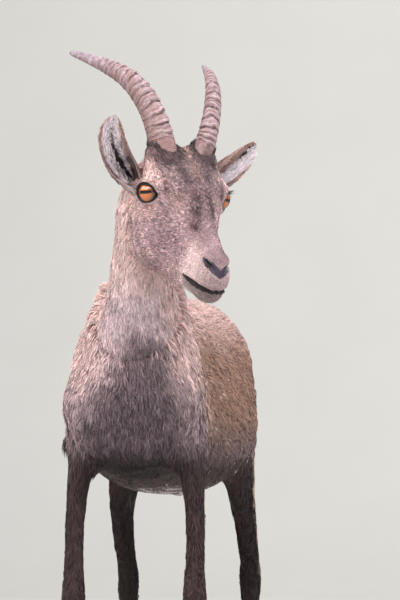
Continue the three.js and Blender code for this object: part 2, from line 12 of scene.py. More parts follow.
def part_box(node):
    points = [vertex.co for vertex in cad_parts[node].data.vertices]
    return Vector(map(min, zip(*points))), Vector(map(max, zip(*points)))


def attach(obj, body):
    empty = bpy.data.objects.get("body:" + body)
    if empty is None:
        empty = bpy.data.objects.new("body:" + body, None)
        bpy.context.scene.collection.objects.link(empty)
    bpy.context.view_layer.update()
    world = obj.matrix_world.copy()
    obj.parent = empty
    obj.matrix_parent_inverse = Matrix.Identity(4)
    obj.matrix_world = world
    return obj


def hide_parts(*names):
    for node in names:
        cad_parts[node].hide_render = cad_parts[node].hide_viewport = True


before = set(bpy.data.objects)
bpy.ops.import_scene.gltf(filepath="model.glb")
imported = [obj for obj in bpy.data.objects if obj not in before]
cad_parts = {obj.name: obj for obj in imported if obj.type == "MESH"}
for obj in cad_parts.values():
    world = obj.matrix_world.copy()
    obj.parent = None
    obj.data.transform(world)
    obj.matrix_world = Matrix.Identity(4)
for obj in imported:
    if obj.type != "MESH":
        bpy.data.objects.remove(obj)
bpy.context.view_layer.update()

# Camera. It stands seven metres ahead of the animal, a little to its left and lower than its head,
# and is aimed so that the point midway between the eyes falls where the photograph has it.
sight_azimuth = math.radians(8.5)
sight_elevation = math.radians(-3.0)
stand_off = 7.0
pixel_size = 0.00145  # what one pixel covers at the eyes
image_size = (400, 600)
eyes_pixel = (184.1, 195.1)
sensor = 36.0
eyes_middle = sum((corner for side in ("left", "right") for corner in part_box("eye_" + side)), Vector()) / 4
to_camera = Vector((
    math.sin(sight_azimuth) * math.cos(sight_elevation),
    -math.cos(sight_azimuth) * math.cos(sight_elevation),
    math.sin(sight_elevation),
))
image_right = Vector((math.cos(sight_azimuth), math.sin(sight_azimuth), 0))
image_up = to_camera.cross(image_right)
aim = (
    eyes_middle
    + image_right * (image_size[0] / 2 - eyes_pixel[0]) * pixel_size
    - image_up * (image_size[1] / 2 - eyes_pixel[1]) * pixel_size
)
camera_data = bpy.data.cameras.new("camera")
camera_data.sensor_width = sensor
camera_data.lens = sensor * stand_off / (pixel_size * max(image_size))
camera = bpy.data.objects.new("camera", camera_data)
camera.location = eyes_middle + to_camera * stand_off
camera.rotation_euler = (camera.location - aim).to_track_quat("Z", "Y").to_euler()
bpy.context.collection.objects.link(camera)
bpy.context.scene.camera = camera

# Skin. One closed hide over trunk, neck, head, ears, tail and legs. Its forms are worked out in
# millimetres with the animal's own place for the origin, melt into each other as flesh does, and lie
# inside the solids by the depth of the coat.
random = np.random.default_rng(7)
head_place = np.array([103.1, -419.8, 820.6])
head_yaw, head_pitch, head_roll = 29.6, 30.0, 5.0
eye_radius = 18.5
eye_place = np.array([52.5, 17.0, 8.0])
head_turn = np.array(
    Matrix.Rotation(math.radians(head_yaw), 3, "Z")
    @ Matrix.Rotation(math.radians(head_pitch), 3, "X")
    @ Matrix.Rotation(math.radians(head_roll), 3, "Y")
)


def to_head(points):
    return (points - head_place) @ head_turn


def from_head(points):
    return np.asarray(points, float) @ head_turn.T + head_place


row_shift = np.array(eyes_middle) * 1000 - from_head([0, eye_place[1], eye_place[2]])


def to_metres(points):
    return (points + row_shift) / 1000


def unit(vectors):
    return vectors / np.maximum(np.linalg.norm(vectors, axis=-1, keepdims=True), 1e-9)


def ease(low, high, value):
    t = np.clip((value - low) / (high - low), 0, 1)
    return t * t * (3 - 2 * t)


def profile(stations):
    at, height = np.array(stations, float).T
    slope = np.gradient(height, at)
    slope[1:-1] = (height[2:] - height[:-2]) / (at[2:] - at[:-2])

    def curve(s):
        s = np.clip(s, at[0], at[-1])
        i = np.clip(np.searchsorted(at, s, side="right") - 1, 0, len(at) - 2)
        span = at[i + 1] - at[i]
        t = (s - at[i]) / span
        rise = t * t * (3 - 2 * t)
        bend = span * t * (1 - t) * (slope[i] * (1 - t) - slope[i + 1] * t)
        return height[i] * (1 - rise) + height[i + 1] * rise + bend

    return curve


def melt(reach, *forms):
    total = forms[0]
    for form in forms[1:]:
        near = np.maximum(reach - np.abs(total - form), 0) / reach
        total = np.minimum(total, form) - near * near * reach / 4
    return total


def carve(reach, form, tool):
    return -melt(reach, -form, tool)


def both_sides(points):
    """The points with those of the right side mirrored to the left."""
    return np.stack([np.abs(points[..., 0]), points[..., 1], points[..., 2]], -1)


def lobe(points, centre, radii, tilt=0):
    turn = math.radians(-tilt)
    radii = np.array(radii, float)
    q = points - np.array(centre, float)
    y = q[..., 1] * math.cos(turn) - q[..., 2] * math.sin(turn)
    z = q[..., 1] * math.sin(turn) + q[..., 2] * math.cos(turn)
    q = np.stack([q[..., 0], y, z], -1) / radii
    off, slope = np.linalg.norm(q, axis=-1), np.linalg.norm(q / radii, axis=-1)
    return np.where(slope < 1e-9, -radii.min(), off * (off - 1) / np.maximum(slope, 1e-9))


def taper(points, start, end, start_radius, end_radius):
    start = np.array(start, float)
    along = np.array(end, float) - start
    q = points - start
    t = np.clip(q @ along / (along @ along), 0, 1)
    radius = start_radius + (end_radius - start_radius) * t
    return np.linalg.norm(q - t[..., None] * along, axis=-1) - radius


def chain(points, path):
    """How far the points are from tapers joined end to end, each end given by its place and radius."""
    return np.minimum.reduce([taper(points, a[:3], b[:3], a[3], b[3]) for a, b in zip(path, path[1:])])


def hump(value, middle, spread):
    """1 at the middle, falling softly to 0 on both sides."""
    return np.exp(-(((value - middle) / spread) ** 2))


def section(u, v, wide, high, roundness):
    q = (np.abs(u / wide) ** roundness + np.abs(v / high) ** roundness) ** (1 / roundness)
    return np.hypot(u, v) * (1 - 1 / np.maximum(q, 1e-6))


def barrel(points, ends, rounding, widest, fullness, top, bottom, width):
    """A form that lies along Y, with rounded ends and its widest level at a share of its height."""
    y = np.clip(points[..., 1], ends[0] + 0.5, ends[1] - 0.5)
    near = np.maximum(ends[0] + rounding[0] - y, 0) / rounding[0]
    far = np.maximum(y - ends[1] + rounding[1], 0) / rounding[1]
    close = np.sqrt(1 - np.maximum(near, far) ** 2)
    middle = bottom(y) + (top(y) - bottom(y)) * widest(y)
    v = points[..., 2] - middle
    high = np.where(v > 0, top(y) - middle, middle - bottom(y))
    under_fullness = 2.1
    power = np.where(v > 0, fullness(y), under_fullness)
    side = section(points[..., 0], v, width(y) * close, high * close, power)
    return np.maximum(side, np.maximum(ends[0] - points[..., 1], points[..., 1] - ends[1]))


class Column:
    """A form that stands along Z, from rows of height, middle and half sizes."""

    def __init__(self, rows):
        self.ends = rows[0][0], rows[-1][0]
        self.x, self.y, self.wide, self.deep = (profile([(r[0], r[k]) for r in rows]) for k in (1, 2, 3, 4))

    def height(self, points):
        z = points[..., 2]
        side = section(points[..., 0] - self.x(z), points[..., 1] - self.y(z), self.wide(z), self.deep(z), 2)
        return np.maximum(side, np.maximum(self.ends[0] - z, z - self.ends[1]))

    def turn(self, points):
        z = points[..., 2]
        return np.arctan2(points[..., 0] - self.x(z), self.y(z) - points[..., 1])


trunk_top = profile([
    (-320, 616), (-260, 680), (-190, 718), (-110, 712), (0, 700), (120, 705), (210, 712), (280, 698),
    (330, 664), (372, 618),
])
trunk_bottom = profile([
    (-320, 500), (-270, 446), (-200, 418), (-80, 402), (60, 392), (150, 398), (220, 430), (290, 486),
    (372, 560),
])
trunk_widest = profile([(-322, 0.35), (372, 0.35)])
trunk_fullness = profile([(-322, 1.72), (372, 1.72)])
trunk_width = profile([
    (-320, 66), (-270, 78), (-200, 90), (-100, 112), (0, 130), (80, 138), (160, 129), (230, 110),
    (300, 88), (372, 62),
])


def torso(points):
    p = both_sides(points)
    shoulder = melt(
        30,
        taper(p, (40, -188, 690), (62, -284, 540), 34, 36),
        taper(p, (60, -284, 538), (74, -232, 470), 35, 28),
        lobe(p, (52, -206, 566), (38, 60, 86), 12),
    )
    haunch = melt(
        36,
        taper(p, (56, 214, 596), (80, 172, 478), 56, 37),
        taper(p, (50, 314, 606), (78, 280, 474), 44, 34),
        lobe(p, (40, 236, 630), (52, 92, 62), -10),
    )
    return melt(
        42,
        barrel(p, (-322, 372), (46, 60), trunk_widest, trunk_fullness, trunk_top, trunk_bottom, trunk_width),
        shoulder,
        haunch,
        lobe(p, (0, -286, 508), (70, 47, 74), 8),
        lobe(p, (0, -262, 596), (60, 58, 86), 24),
        lobe(p, (0, 206, 424), (40, 46, 34)),
    )


neck = Column([
    (540, 0, -222, 74, 84), (580, 1, -232, 70, 86), (620, 3, -243, 62, 88), (660, 7, -255, 55, 86),
    (700, 12, -271, 51, 79), (740, 18, -290, 50, 69), (780, 26, -309, 50, 63), (820, 34, -330, 51, 59),
    (850, 42, -344, 49, 52), (875, 49, -348, 40, 40), (895, 53, -346, 26, 26), (908, 55, -344, 10, 10),
])
tail = Column([
    (545, 0, 379, 9, 5), (562, 0, 381, 16, 9), (590, 0, 381, 20, 12), (620, 0, 373, 21, 16),
    (648, 0, 359, 20, 18), (668, 0, 344, 18, 18),
])
face_top = profile([
    (-178, -8), (-155, 5), (-122, 15), (-80, 28), (-45, 41), (-10, 53), (25, 62), (55, 64), (85, 55),
    (108, 38),
])
face_bottom = profile([
    (-178, -56), (-158, -71), (-122, -83), (-90, -92), (-55, -103), (-15, -113), (20, -115), (50, -104),
    (82, -66), (108, -26),
])
face_widest = profile([(-178, 0.34), (-90, 0.36), (-20, 0.56), (108, 0.58)])
face_fullness = profile([(-178, 1.7), (-80, 1.75), (-10, 2.3), (108, 2.3)])
face_width = profile([
    (-178, 16.5), (-155, 21), (-128, 24), (-95, 26.5), (-65, 30), (-35, 42), (-5, 53), (25, 58), (60, 56),
    (85, 48), (108, 37),
])


def head(points):
    q = both_sides(to_head(points))
    skull = melt(
        24,
        barrel(q, (-178, 108), (26, 40), face_widest, face_fullness, face_top, face_bottom, face_width),
        lobe(q, (41, 18, 26), (18, 30, 12), 14),
        lobe(q, (33, 20, -58), (23, 52, 51), -14),
        lobe(q, (31, 66, 46), (25, 28, 24)),
    )
    return melt(
        11,
        skull,
        lobe(q, eye_place, (22.5, 22.5, 22.5)),
        lobe(q, (7.5, -155, -32), (13.5, 21, 15.5)),
        lobe(q, (12, -149, -13), (8.5, 14, 9.5)),
        lobe(q, (0, -146, -62), (19, 28, 15)),
    )


fore_rows = [
    (38, -2, -267, 18.5, 22), (46, -2, -264, 17.5, 20), (62, -2, -257, 14.5, 16), (84, -2, -249, 16, 18),
    (100, -2, -245, 16.5, 19), (124, -2, -244, 13.5, 15.5), (168, -1, -246, 12.5, 15),
    (212, 0, -248, 14.5, 17), (242, 0, -250, 18, 20), (264, 0, -249, 17, 19.5), (294, 0, -247, 15.5, 19),
    (342, 0, -243, 16.5, 23), (390, -2, -239, 19, 30), (430, -6, -233, 23, 38), (480, -14, -226, 26, 46),
    (560, -30, -216, 24, 40),
]
hind_rows = [
    (38, -3, 268, 18, 21), (46, -3, 271, 17, 19.5), (62, -3, 279, 14, 16), (82, -2, 289, 15.5, 18),
    (100, -2, 294, 16.5, 19.5), (122, -1, 296, 13.5, 16), (170, 0, 300, 12.5, 16), (220, 0, 305, 14.5, 19.5),
    (248, 0, 307, 17, 24), (270, 0, 306, 17, 27), (292, 1, 292, 16, 28), (320, 1, 268, 17.5, 33),
    (360, 0, 243, 20, 44), (400, -4, 228, 24, 62), (450, -12, 224, 31, 84), (560, -36, 238, 34, 76),
]
leg_x = {"fore": 90, "hind": 97}
leg_rows = {"fore": fore_rows, "hind": hind_rows}
sides = {"left": 1, "right": -1}
stance = {"fore_left": 8, "fore_right": -16, "hind_left": 14, "hind_right": -18}
leg_root_top = 560
legs = {}
for leg_name, ahead in stance.items():
    pair, side_name = leg_name.split("_")
    side = sides[side_name]
    legs[leg_name] = Column([
        (z, side * (leg_x[pair] + x), y + ahead * (1 - z / leg_root_top), wide, deep)
        for z, x, y, wide, deep in leg_rows[pair]
    ])


def flesh(points):
    """How far the points are from each part's surface, coat and all."""
    parts = {"torso": torso(points), "neck": neck.height(points), "head": head(points)}
    return parts | {name: column.height(points) for name, column in {"tail": tail, **legs}.items()}


def shares(points, parts):
    """How much each part has to say at a point."""
    fade = 18
    weight = {name: np.exp(-np.maximum(value, -6) / fade) for name, value in parts.items()}
    total = sum(weight.values())
    return {name: w / total for name, w in weight.items()}


def coat_depth(points, parts):
    share = shares(points, parts)
    along_face = to_head(points)[..., 1]
    depth = {"torso": 8.5, "neck": 7.5, "head": 2.0 + 2.5 * ease(-10, 70, along_face), "tail": 6.0}
    on_leg = 2.4 + 5.0 * ease(250, 430, points[..., 2])
    return sum(share[name] * depth.get(name, on_leg) for name in share)


# An eye's axes on the left side of the head: outwards, forwards along the lids and up
eye_outward = math.radians(54)
lid_dip = math.radians(14)
eye_out = unit(np.array([math.sin(eye_outward), -math.cos(eye_outward), 0.05]))
dip_turn = np.array(Matrix.Rotation(-lid_dip, 3, Vector(eye_out)))
eye_along = dip_turn @ unit(np.array([eye_out[1], -eye_out[0], 0.0]))
eye_up = dip_turn @ np.array([0.0, 0.0, 1.0])
nostril_path = [
    (6, -180, -27, 1.3), (9, -173, -21, 2.6), (14.5, -163, -16, 4.2), (21, -149, -14, 5.4),
    (22, -137, -13, 3.4),
]
mouth_place = np.array([0.0, -97.0, -61.0])


def around_eye(q):
    """Distance from the eye's middle, angle off its outward axis and turn about it, mirrored to the left."""
    d = both_sides(q) - eye_place
    reach = np.linalg.norm(d, axis=-1)
    angle = np.arccos(np.clip(d @ eye_out / np.maximum(reach, 1e-6), -1, 1))
    return reach, np.degrees(angle), np.arctan2(d @ eye_up, d @ eye_along)


def lid_edge(turn):
    """How wide the lids stand open, in degrees off the eye's axis: a near circle with a tear duct."""
    return 40 + 10 * np.cos(turn) ** 2 + 9 * hump(turn, 0, 0.34)


def mouth_line(q):
    """Height over the line of the mouth, and how far behind its corners the point is."""
    m = q - mouth_place
    jaw_wide, jaw_long, rise = 42, 80, 15
    out = np.hypot(m[..., 0] / jaw_wide, m[..., 1] / jaw_long)
    ahead = np.clip(-m[..., 1] / jaw_long / np.maximum(out, 1e-6), 0, 1)
    return m[..., 2] - rise * ahead**1.6, m[..., 1]


def face_detail(form, q):
    """The form of the head with lids, sockets, tear glands, nostrils, lips and the cleft of the lip."""
    reach, angle, turn = around_eye(q)
    off_lid = angle - lid_edge(turn)
    over = ease(-0.2, 0.9, np.sin(turn))
    crease = hump(off_lid, 17, 4.5) * over + 0.5 * hump(off_lid, 20, 5) * (1 - over)
    near_eye = np.exp(-np.maximum(reach - 24, 0) / 3)
    form = form + (1.1 * crease - 0.9 * hump(off_lid, 8, 5)) * near_eye
    under_rim = 4.5
    socket_wall = reach * np.sin(np.radians(np.clip(off_lid - under_rim, -80, 80)))
    socket = np.maximum(socket_wall, eye_radius - 2.5 - reach)
    form = np.where((reach < 34) & (angle < 90), carve(1.2, form, socket), form)
    s = both_sides(q)
    form = carve(3, form, taper(s, (31, -16, -4), (26, -32, -16), 1.9, 1.2))
    form = carve(3, form, chain(s, nostril_path))
    over_line, behind = mouth_line(q)
    form = form + 3.4 * hump(over_line, 0, 1.9) * ease(2, -6, behind)
    form = form - ease(4, -20, behind) * (1.2 * hump(over_line, 5.5, 3.6) + 1.5 * hump(over_line, -5, 3.4))
    return form + 1.3 * hump(q[..., 0], 0, 1.4) * ease(-158, -166, q[..., 1]) * ease(-26, -34, q[..., 2])


def skin_height(points):
    """About how far the points are above the skin."""
    neck_melt, head_melt, leg_melt, tail_melt, near_face = 42, 30, 24, 10, 14
    parts = flesh(points)
    form = melt(neck_melt, parts["torso"], parts["neck"])
    form = melt(head_melt, form, parts["head"])
    form = melt(leg_melt, form, *(parts[name] for name in legs))
    form = melt(tail_melt, form, parts["tail"]) + coat_depth(points, parts)
    on_face = parts["head"] < near_face
    if on_face.any():
        form[on_face] = face_detail(form[on_face], to_head(points[on_face]))
    return form


def skin_normal(points, step=0.6):
    """The height over the skin, and the way it rises fastest."""
    here = skin_height(points)
    rise = [skin_height(points + step * axis) - here for axis in np.eye(3)]
    return here, np.stack(rise, -1) / step


def settle(points, rounds=2, farthest=3.0):
    """The points moved down or up onto the skin."""
    least_slope = 0.3
    for _ in range(rounds):
        here, slope = skin_normal(points)
        steep = np.maximum((slope**2).sum(-1), least_slope**2)
        move = -slope * (here / steep)[:, None]
        size = np.linalg.norm(move, axis=1, keepdims=True)
        points = points + move * np.minimum(1, farthest / np.maximum(size, 1e-9))
    return points


def plain_mesh(name, points, faces):
    mesh = bpy.data.meshes.new(name)
    mesh.from_pydata(points.tolist(), [], [list(face) for face in faces])
    piece = bpy.data.objects.new(name, mesh)
    bpy.context.collection.objects.link(piece)
    return piece


def loft(rows):
    """Points and faces of a closed mesh over rows of points, each closed at its ends by a fan or a tip."""
    points = [rows[0].mean(0, keepdims=True), *rows, rows[-1].mean(0, keepdims=True)]
    points = [row for k, row in enumerate(points) if not (k == 0 and len(rows[0]) == 1)]
    points = points[:-1] if len(rows[-1]) == 1 else points
    starts = np.cumsum([0] + [len(row) for row in points])
    faces = []
    for a, b, row, after in zip(starts, starts[1:], points, points[1:]):
        n, m = len(row), len(after)
        for j in range(max(n, m)):
            corners = [a + j % n, b + j % m, b + (j + 1) % m, a + (j + 1) % n]
            faces.append(list(dict.fromkeys(corners)))
    return np.concatenate(points), faces


def outward(piece):
    shape = bmesh.new()
    shape.from_mesh(piece.data)
    bmesh.ops.recalc_face_normals(shape, faces=shape.faces)
    shape.to_mesh(piece.data)
    shape.free()


def full_turn(steps):
    return np.linspace(0, 2 * math.pi, steps, endpoint=False)


def skin_grid(cell, low, high):
    """The skin's height on a grid, worked out closely only near the surface."""
    axes = [np.arange(a, b, cell) for a, b in zip(low, high)]
    coarse_axes = [axis[::2] for axis in axes]
    coarse = skin_height(np.stack(np.meshgrid(*coarse_axes, indexing="ij"), -1))
    nearest = [np.minimum((np.arange(len(axis)) + 1) // 2, len(c) - 1) for axis, c in zip(axes, coarse_axes)]
    values = coarse[np.ix_(*nearest)]
    near = np.abs(values) < 3.4 * cell
    values[near] = skin_height(np.stack(np.meshgrid(*axes, indexing="ij"), -1)[near])
    return values


skin_cell = 6.0
skin_low = np.array([-156.0, -566.0, 32.0])
skin_high = np.array([196.0, 400.0, 930.0])
grid = openvdb.FloatGrid(200.0)
grid.copyFromArray(np.ascontiguousarray(skin_grid(skin_cell, skin_low, skin_high), np.float32))
grid_points, grid_quads = grid.convertToQuads(0.0)
hide = bmesh.new()
corners = [hide.verts.new(point) for point in skin_low + skin_cell * grid_points.astype(float)]
for quad in grid_quads:
    hide.faces.new([corners[i] for i in quad])


def refine(shape, wanted):
    """Halves the edges of the faces that are wanted finer, and settles all corners on the skin again."""
    faces = list(shape.faces)
    middles = np.array([face.calc_center_median() for face in faces])
    edges = {edge for face, yes in zip(faces, wanted(middles)) if yes for edge in face.edges}
    bmesh.ops.subdivide_edges(shape, edges=list(edges), cuts=1, use_grid_fill=True)
    evened = {"factor": 0.5, "use_axis_x": True, "use_axis_y": True, "use_axis_z": True}
    for _ in range(2):
        bmesh.ops.smooth_vert(shape, verts=shape.verts, **evened)
    points = settle(np.array([vert.co for vert in shape.verts]))
    for vert, point in zip(shape.verts, points):
        vert.co = point


def on_head_or_shins(points):
    return (head(points) < 8) | (points[:, 2] < 300)


def at_features(points):
    q = both_sides(to_head(points))
    at_eye = np.linalg.norm(q - eye_place, axis=1) < 33
    at_muzzle = (q[:, 1] < -92) & (head(points) < 6)
    return at_eye | at_muzzle


refine(hide, on_head_or_shins)
refine(hide, at_features)
bmesh.ops.triangulate(hide, faces=hide.faces)
skin = plain_mesh("skin", np.zeros((0, 3)), [])
hide.to_mesh(skin.data)
hide.free()
outward(skin)


# Ears, part of the same hide: each is a cupped leaf of gristle, nearly closed to a tube at its root,
# that bows out to its tip. The right one is turned to the front and the left one out and back.
ear_half_width = 21.5
ear_set_back = 14
ear_pose = {
    "left": {"line": ((28, 58, -4), (98, 72, 43), (149, 122, 51)), "facing": (0.42, -0.86, 0.24)},
    "right": {"line": ((-30, 62, -26), (-116, 84, 34), (-102, 104, 80)), "facing": (-0.46, -0.8, 0.4)},
}
ear_outline = profile([(0, 0.46), (0.1, 0.6), (0.25, 0.88), (0.45, 1), (0.7, 0.88), (0.9, 0.52), (1, 0.16)])
ear_cup = profile([(0, 138), (0.3, 112), (0.5, 84), (0.8, 62), (1, 50)])
ear_wall = profile([(0, 10.4), (0.2, 5), (0.35, 2.2), (1, 1.1)])


def ear_point(name, along, turn, inner=False):
    """A point on an ear, and the way its surface faces: along is 0 to 1, turn -1 to 1 from edge to edge."""
    start, pull, end = (np.array(p, float) for p in ear_pose[name]["line"])
    t = np.atleast_1d(np.asarray(along, float))[:, None]
    middle = (1 - t) ** 2 * start + 2 * t * (1 - t) * pull + t**2 * end
    tangent = unit(2 * (1 - t) * (pull - start) + 2 * t * (end - pull))
    facing = np.array(ear_pose[name]["facing"])
    facing = unit(facing - (tangent @ facing)[:, None] * tangent)
    across = np.cross(tangent, facing)
    half = np.radians(ear_cup(t))
    reach = ear_outline(t) * ear_half_width / np.sin(np.minimum(half, math.pi / 2))
    angle = half * np.asarray(turn)[..., None]
    outwards = across * np.sin(angle) - facing * np.cos(angle)
    depth = ear_wall(t) if inner else 0.0
    point = middle + facing * (reach - ear_set_back) + outwards * (reach - 0.8 - depth)
    face = -outwards if inner else outwards
    return from_head(point), face @ head_turn.T, tangent @ head_turn.T


ear_rings, ear_arc = 34, 19
turns = np.linspace(-1, 1, ear_arc)
for ear_name in ear_pose:
    rows = []
    for along in np.full((ear_arc, ear_rings), np.linspace(0, 1, ear_rings)).T:
        back, inside = ear_point(ear_name, along, turns)[0], ear_point(ear_name, along, -turns, True)[0]
        rows.append(np.concatenate([back, inside]))
    tip, _, tip_way = ear_point(ear_name, [1.0], [0.0])
    rows.append(tip + 2 * tip_way)
    ear = plain_mesh("ear_" + ear_name + "_shell", *loft(rows))
    outward(ear)
    join = skin.modifiers.new("ear", "BOOLEAN")
    join.operation = "UNION"
    join.solver = "MANIFOLD"
    join.object = ear
    joined = bpy.data.meshes.new_from_object(skin.evaluated_get(bpy.context.evaluated_depsgraph_get()))
    skin.modifiers.remove(join)
    skin.data = joined
    bpy.data.objects.remove(ear)
skin.data.name = "skin"
hide_points = np.empty(len(skin.data.vertices) * 3)
skin.data.vertices.foreach_get("co", hide_points)
hide_points = hide_points.reshape(-1, 3)
skin.data.vertices.foreach_set("co", to_metres(hide_points).ravel())
skin.data.update()
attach(skin, "root")
flesh_nodes = ["torso", "neck", "head", "tail", "ear_left", "ear_right"]
for leg_name in legs:
    upper = "forearm" if leg_name.startswith("fore") else "shank"
    flesh_nodes += [f"{leg_name}_{length}" for length in (upper, "cannon", "pastern")]
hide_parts(*flesh_nodes)


# Markings of the summer coat, worked out from the animal's own shape and laid on skin and hair alike:
# greyish pink-brown over the back and flanks, a dark chest, dark legs, a white belly and a face of pale
# rings and dark patches. Some of the dark is painted shade: along and under the jaw and on the neck's
# left side, and in part under the brow, in the mouth and under the brisket. Colours are red, green and
# blue out of 255 as seen.
def ink(*seen):
    share = np.array(seen, float) / 255
    return np.where(share <= 0.04045, share / 12.92, ((share + 0.055) / 1.055) ** 2.4)


def spot(points, centre, radii):
    return np.exp(-(((points - np.array(centre, float)) / np.array(radii, float)) ** 2).sum(-1))


def lay(base, mask, colour):
    mask = np.clip(mask, 0, 1)[..., None]
    return base * (1 - mask) + colour * mask


def layered(colour, *layers):
    """A colour with others laid over it in turn, each with its own mask."""
    for mask, over in layers:
        colour = lay(colour, mask, ink(*over))
    return colour


def along_path(q, path, reach):
    """A soft line of the given half-width along a path of points on the head, the same on both sides."""
    return hump(chain(both_sides(q), [(*place, 0) for place in path]), 0, reach)


def face_colour(q):
    s = both_sides(q)
    x, y, z = s.T
    from_horn = np.linalg.norm(s - [32, 58, 62], axis=-1)
    streak = spot(s, (8, -50, 39), (6, 14, 11)) + spot(s, (13, -66, 26), (6, 14, 11))
    streak = streak + spot(s, (17, -83, 8), (7, 16, 12))
    colour = layered(
        ink(178, 144, 146),
        (ease(20, 60, y), (206, 167, 161)),
        (0.8 * spot(s, (42, -38, -30), (22, 34, 26)), (152, 122, 128)),  # cheek
        (0.7 * spot(s, (28, -74, -34), (14, 26, 16)), (150, 119, 126)),
        (0.8 * spot(s, (58, 2, -18), (20, 20, 14)), (194, 154, 149)),  # under the eye
        (0.8 * spot(s, (60, 40, -8), (12, 14, 30)), (214, 178, 174)),
        (ease(60, 30, from_horn) * ease(-6, 6, z - 24), (94, 68, 70)),  # under the horns
        (0.95 * along_path(q, [(28, 34, 60), (17, -2, 54), (15, -22, 47)], 9), (108, 80, 85)),
        (spot(s, (59, 34, 33), (13, 26, 14)), (228, 188, 179)),  # over the eye
        (0.8 * spot(s, (40, -18, 31), (8, 24, 12)), (138, 105, 106)),
        (0.7 * spot(s, (36, -4, 45), (9, 13, 9)), (196, 158, 152)),
        (0.85 * ease(7, 2, x) * ease(-34, -16, y) * ease(30, 44, z), (178, 137, 124)),  # parting
        (0.8 * spot(s, (14, -34, 42), (11, 12, 14)), (150, 116, 120)),
        (0.9 * spot(s, (29, -39, 23), (9, 12, 10)), (184, 145, 138)),  # whorl
        (1.05 * streak, (98, 68, 71)),  # down the nose
        (0.6 * ease(6, 2, x) * spot(s, (0, -70, 28), (9, 34, 20)), (166, 128, 128)),
        (0.7 * spot(s, (14, -108, 0), (11, 12, 14)), (164, 128, 131)),
        (spot(s, (4, -142, 4), (14, 24, 13)), (196, 160, 165)),
    )
    forehead = 0.36 * ease(8, 28, z) * ease(52, 34, x) + 0.12 * ease(34, 46, z) * ease(-40, -10, y)
    reach, angle, turn = around_eye(q)
    ring = hump(angle - lid_edge(turn), 19, 7) * ease(36, 28, reach)
    # Painted shade: a dark line along the rear edge and underside of the jaw.
    jaw = along_path(q, [(60, 40, -26), (60, 13, -54), (52, -14, -77), (34, -32, -90), (18, -58, -96)], 8)
    colour = layered(
        colour * (1 - forehead)[..., None],
        (0.7 * jaw, (140, 109, 110)),
        # A dark line along the brow: partly its own dark hair, partly painted shade under the brow.
        (along_path(q, [(46, 8, 43), (45, -4, 38), (43, -18, 28)], 3.4), (98, 70, 68)),
        (along_path(q, [(57, -7, 14), (50, -17, 10), (45, -25, 5)], 3.2), (62, 42, 42)),  # tear duct
        (0.6 * along_path(q, [(46, -24, 4), (40, -34, -4)], 5), (136, 101, 100)),
        ((0.45 + 0.3 * ease(0.2, -0.6, np.sin(turn))) * ring, (222, 186, 176)),
        (0.85 * ease(-86, -108, y) * ease(-2, -26, z - 0.1 * x), (228, 198, 196)),  # muzzle
    )
    over_line, behind = mouth_line(q)
    near_mouth = ease(1, -8, behind)
    chin = ease(-3, -8, over_line) * ease(-94, -112, y)
    thick = 2.2 + 3.0 * ease(-104, -136, y)
    return layered(
        colour * (1 - 0.2 * ease(-130, -150, y))[..., None],
        (0.75 * near_mouth * spot(s, (8, -172, -36), (14, 14, 10)), (172, 142, 144)),
        (chin, (152, 131, 128)),
        (0.8 * chin * ease(-68, -78, z), (198, 182, 176)),
        # The dark band under the line of the mouth: partly the lips' own dark skin, partly painted shade in
        # the mouth's opening.
        (near_mouth * ease(2.4, 0.6, over_line) * ease(-thick - 1.5, 0.6 - thick, over_line), (52, 41, 46)),
    )


nose_edge = [
    (22, -133, -13, 3), (20.5, -146, -13.5, 5), (15, -160, -14.5, 6.4), (8, -171, -17.5, 6.8),
    (0, -178, -21, 6), (0, -179, -28, 2.8),
]


def nose_pad(q):
    """The bare wet skin: a broad V from nostril to nostril, down to the cleft of the lip."""
    s = both_sides(q)
    cleft = taper(s, (0, -178, -31), (0, -178, -44), 1.9, 1.0)
    return ease(0.7, -0.5, np.minimum(chain(s, nose_edge), cleft))


def chest_stripe(points):
    """The dark of the chest: a wedge down the throat that widens over the brisket."""
    x, y, z = points.T
    lower = ease(650, 480, z)
    off_middle = np.abs(x - 26 + 18 * lower)
    return ease(44 + 58 * lower, 4 + 44 * lower, off_middle) * ease(662, 622, z) * ease(-205, -262, y)


def leg_colour(points, pair):
    x, y, z = points.T
    behind = y - np.mean([legs[pair + "_left"].y(z), legs[pair + "_right"].y(z)], axis=0)
    coronet_tone = (0.5 * ease(110, 60, z), (110, 86, 78))
    if pair == "hind":
        pale = ease(6, 22, behind) * ease(110, 170, z) * ease(600, 500, z)
        return layered(
            ink(44, 30, 30), (ease(440, 540, z), (120, 92, 88)), (0.8 * pale, (190, 154, 134)), coronet_tone
        )
    outer = np.abs(x - np.where(x > 0, 1, -1) * (leg_x[pair] + 6))
    pale = ease(10, 22, outer) * ease(-6, 10, behind)
    return layered(
        ink(68, 48, 49), (0.6 * pale, (124, 98, 100)), (ease(430, 500, z), (106, 84, 90)), coronet_tone
    )


def trunk_colour(points):
    x, y, z = points.T
    off_middle = np.abs(x)
    in_front = ease(-190, -250, y)
    return layered(
        ink(160, 120, 99),
        (ease(600, 680, z), (206, 167, 160)),
        (ease(540, 460, z), (122, 98, 98)),
        (ease(478, 440, z), (70, 52, 52)),  # line along the flank
        (in_front, (214, 176, 170)),
        (ease(80, 100, x) * ease(-120, -180, y) * ease(470, 530, z), (222, 189, 174)),
        (in_front * ease(600, 520, z) * (0.8 + 0.2 * ease(92, 60, off_middle)), (146, 123, 132)),
        (0.9 * chest_stripe(points), (88, 70, 78)),
        # Darkest under the brisket: partly the chest's own dark hair, partly painted shade beneath it.
        (ease(490, 448, z) * ease(-130, -230, y), (36, 26, 28)),
        (ease(414, 400, z) * ease(-120, -60, y) * ease(86, 62, off_middle), (204, 192, 195)),  # belly
        (0.6 * ease(12, 4, off_middle) * ease(640, 680, z) * ease(-170, -120, y), (124, 92, 86)),  # back
        (spot(both_sides(points), (0, 392, 590), (44, 40, 60)), (220, 198, 180)),  # rump
    )


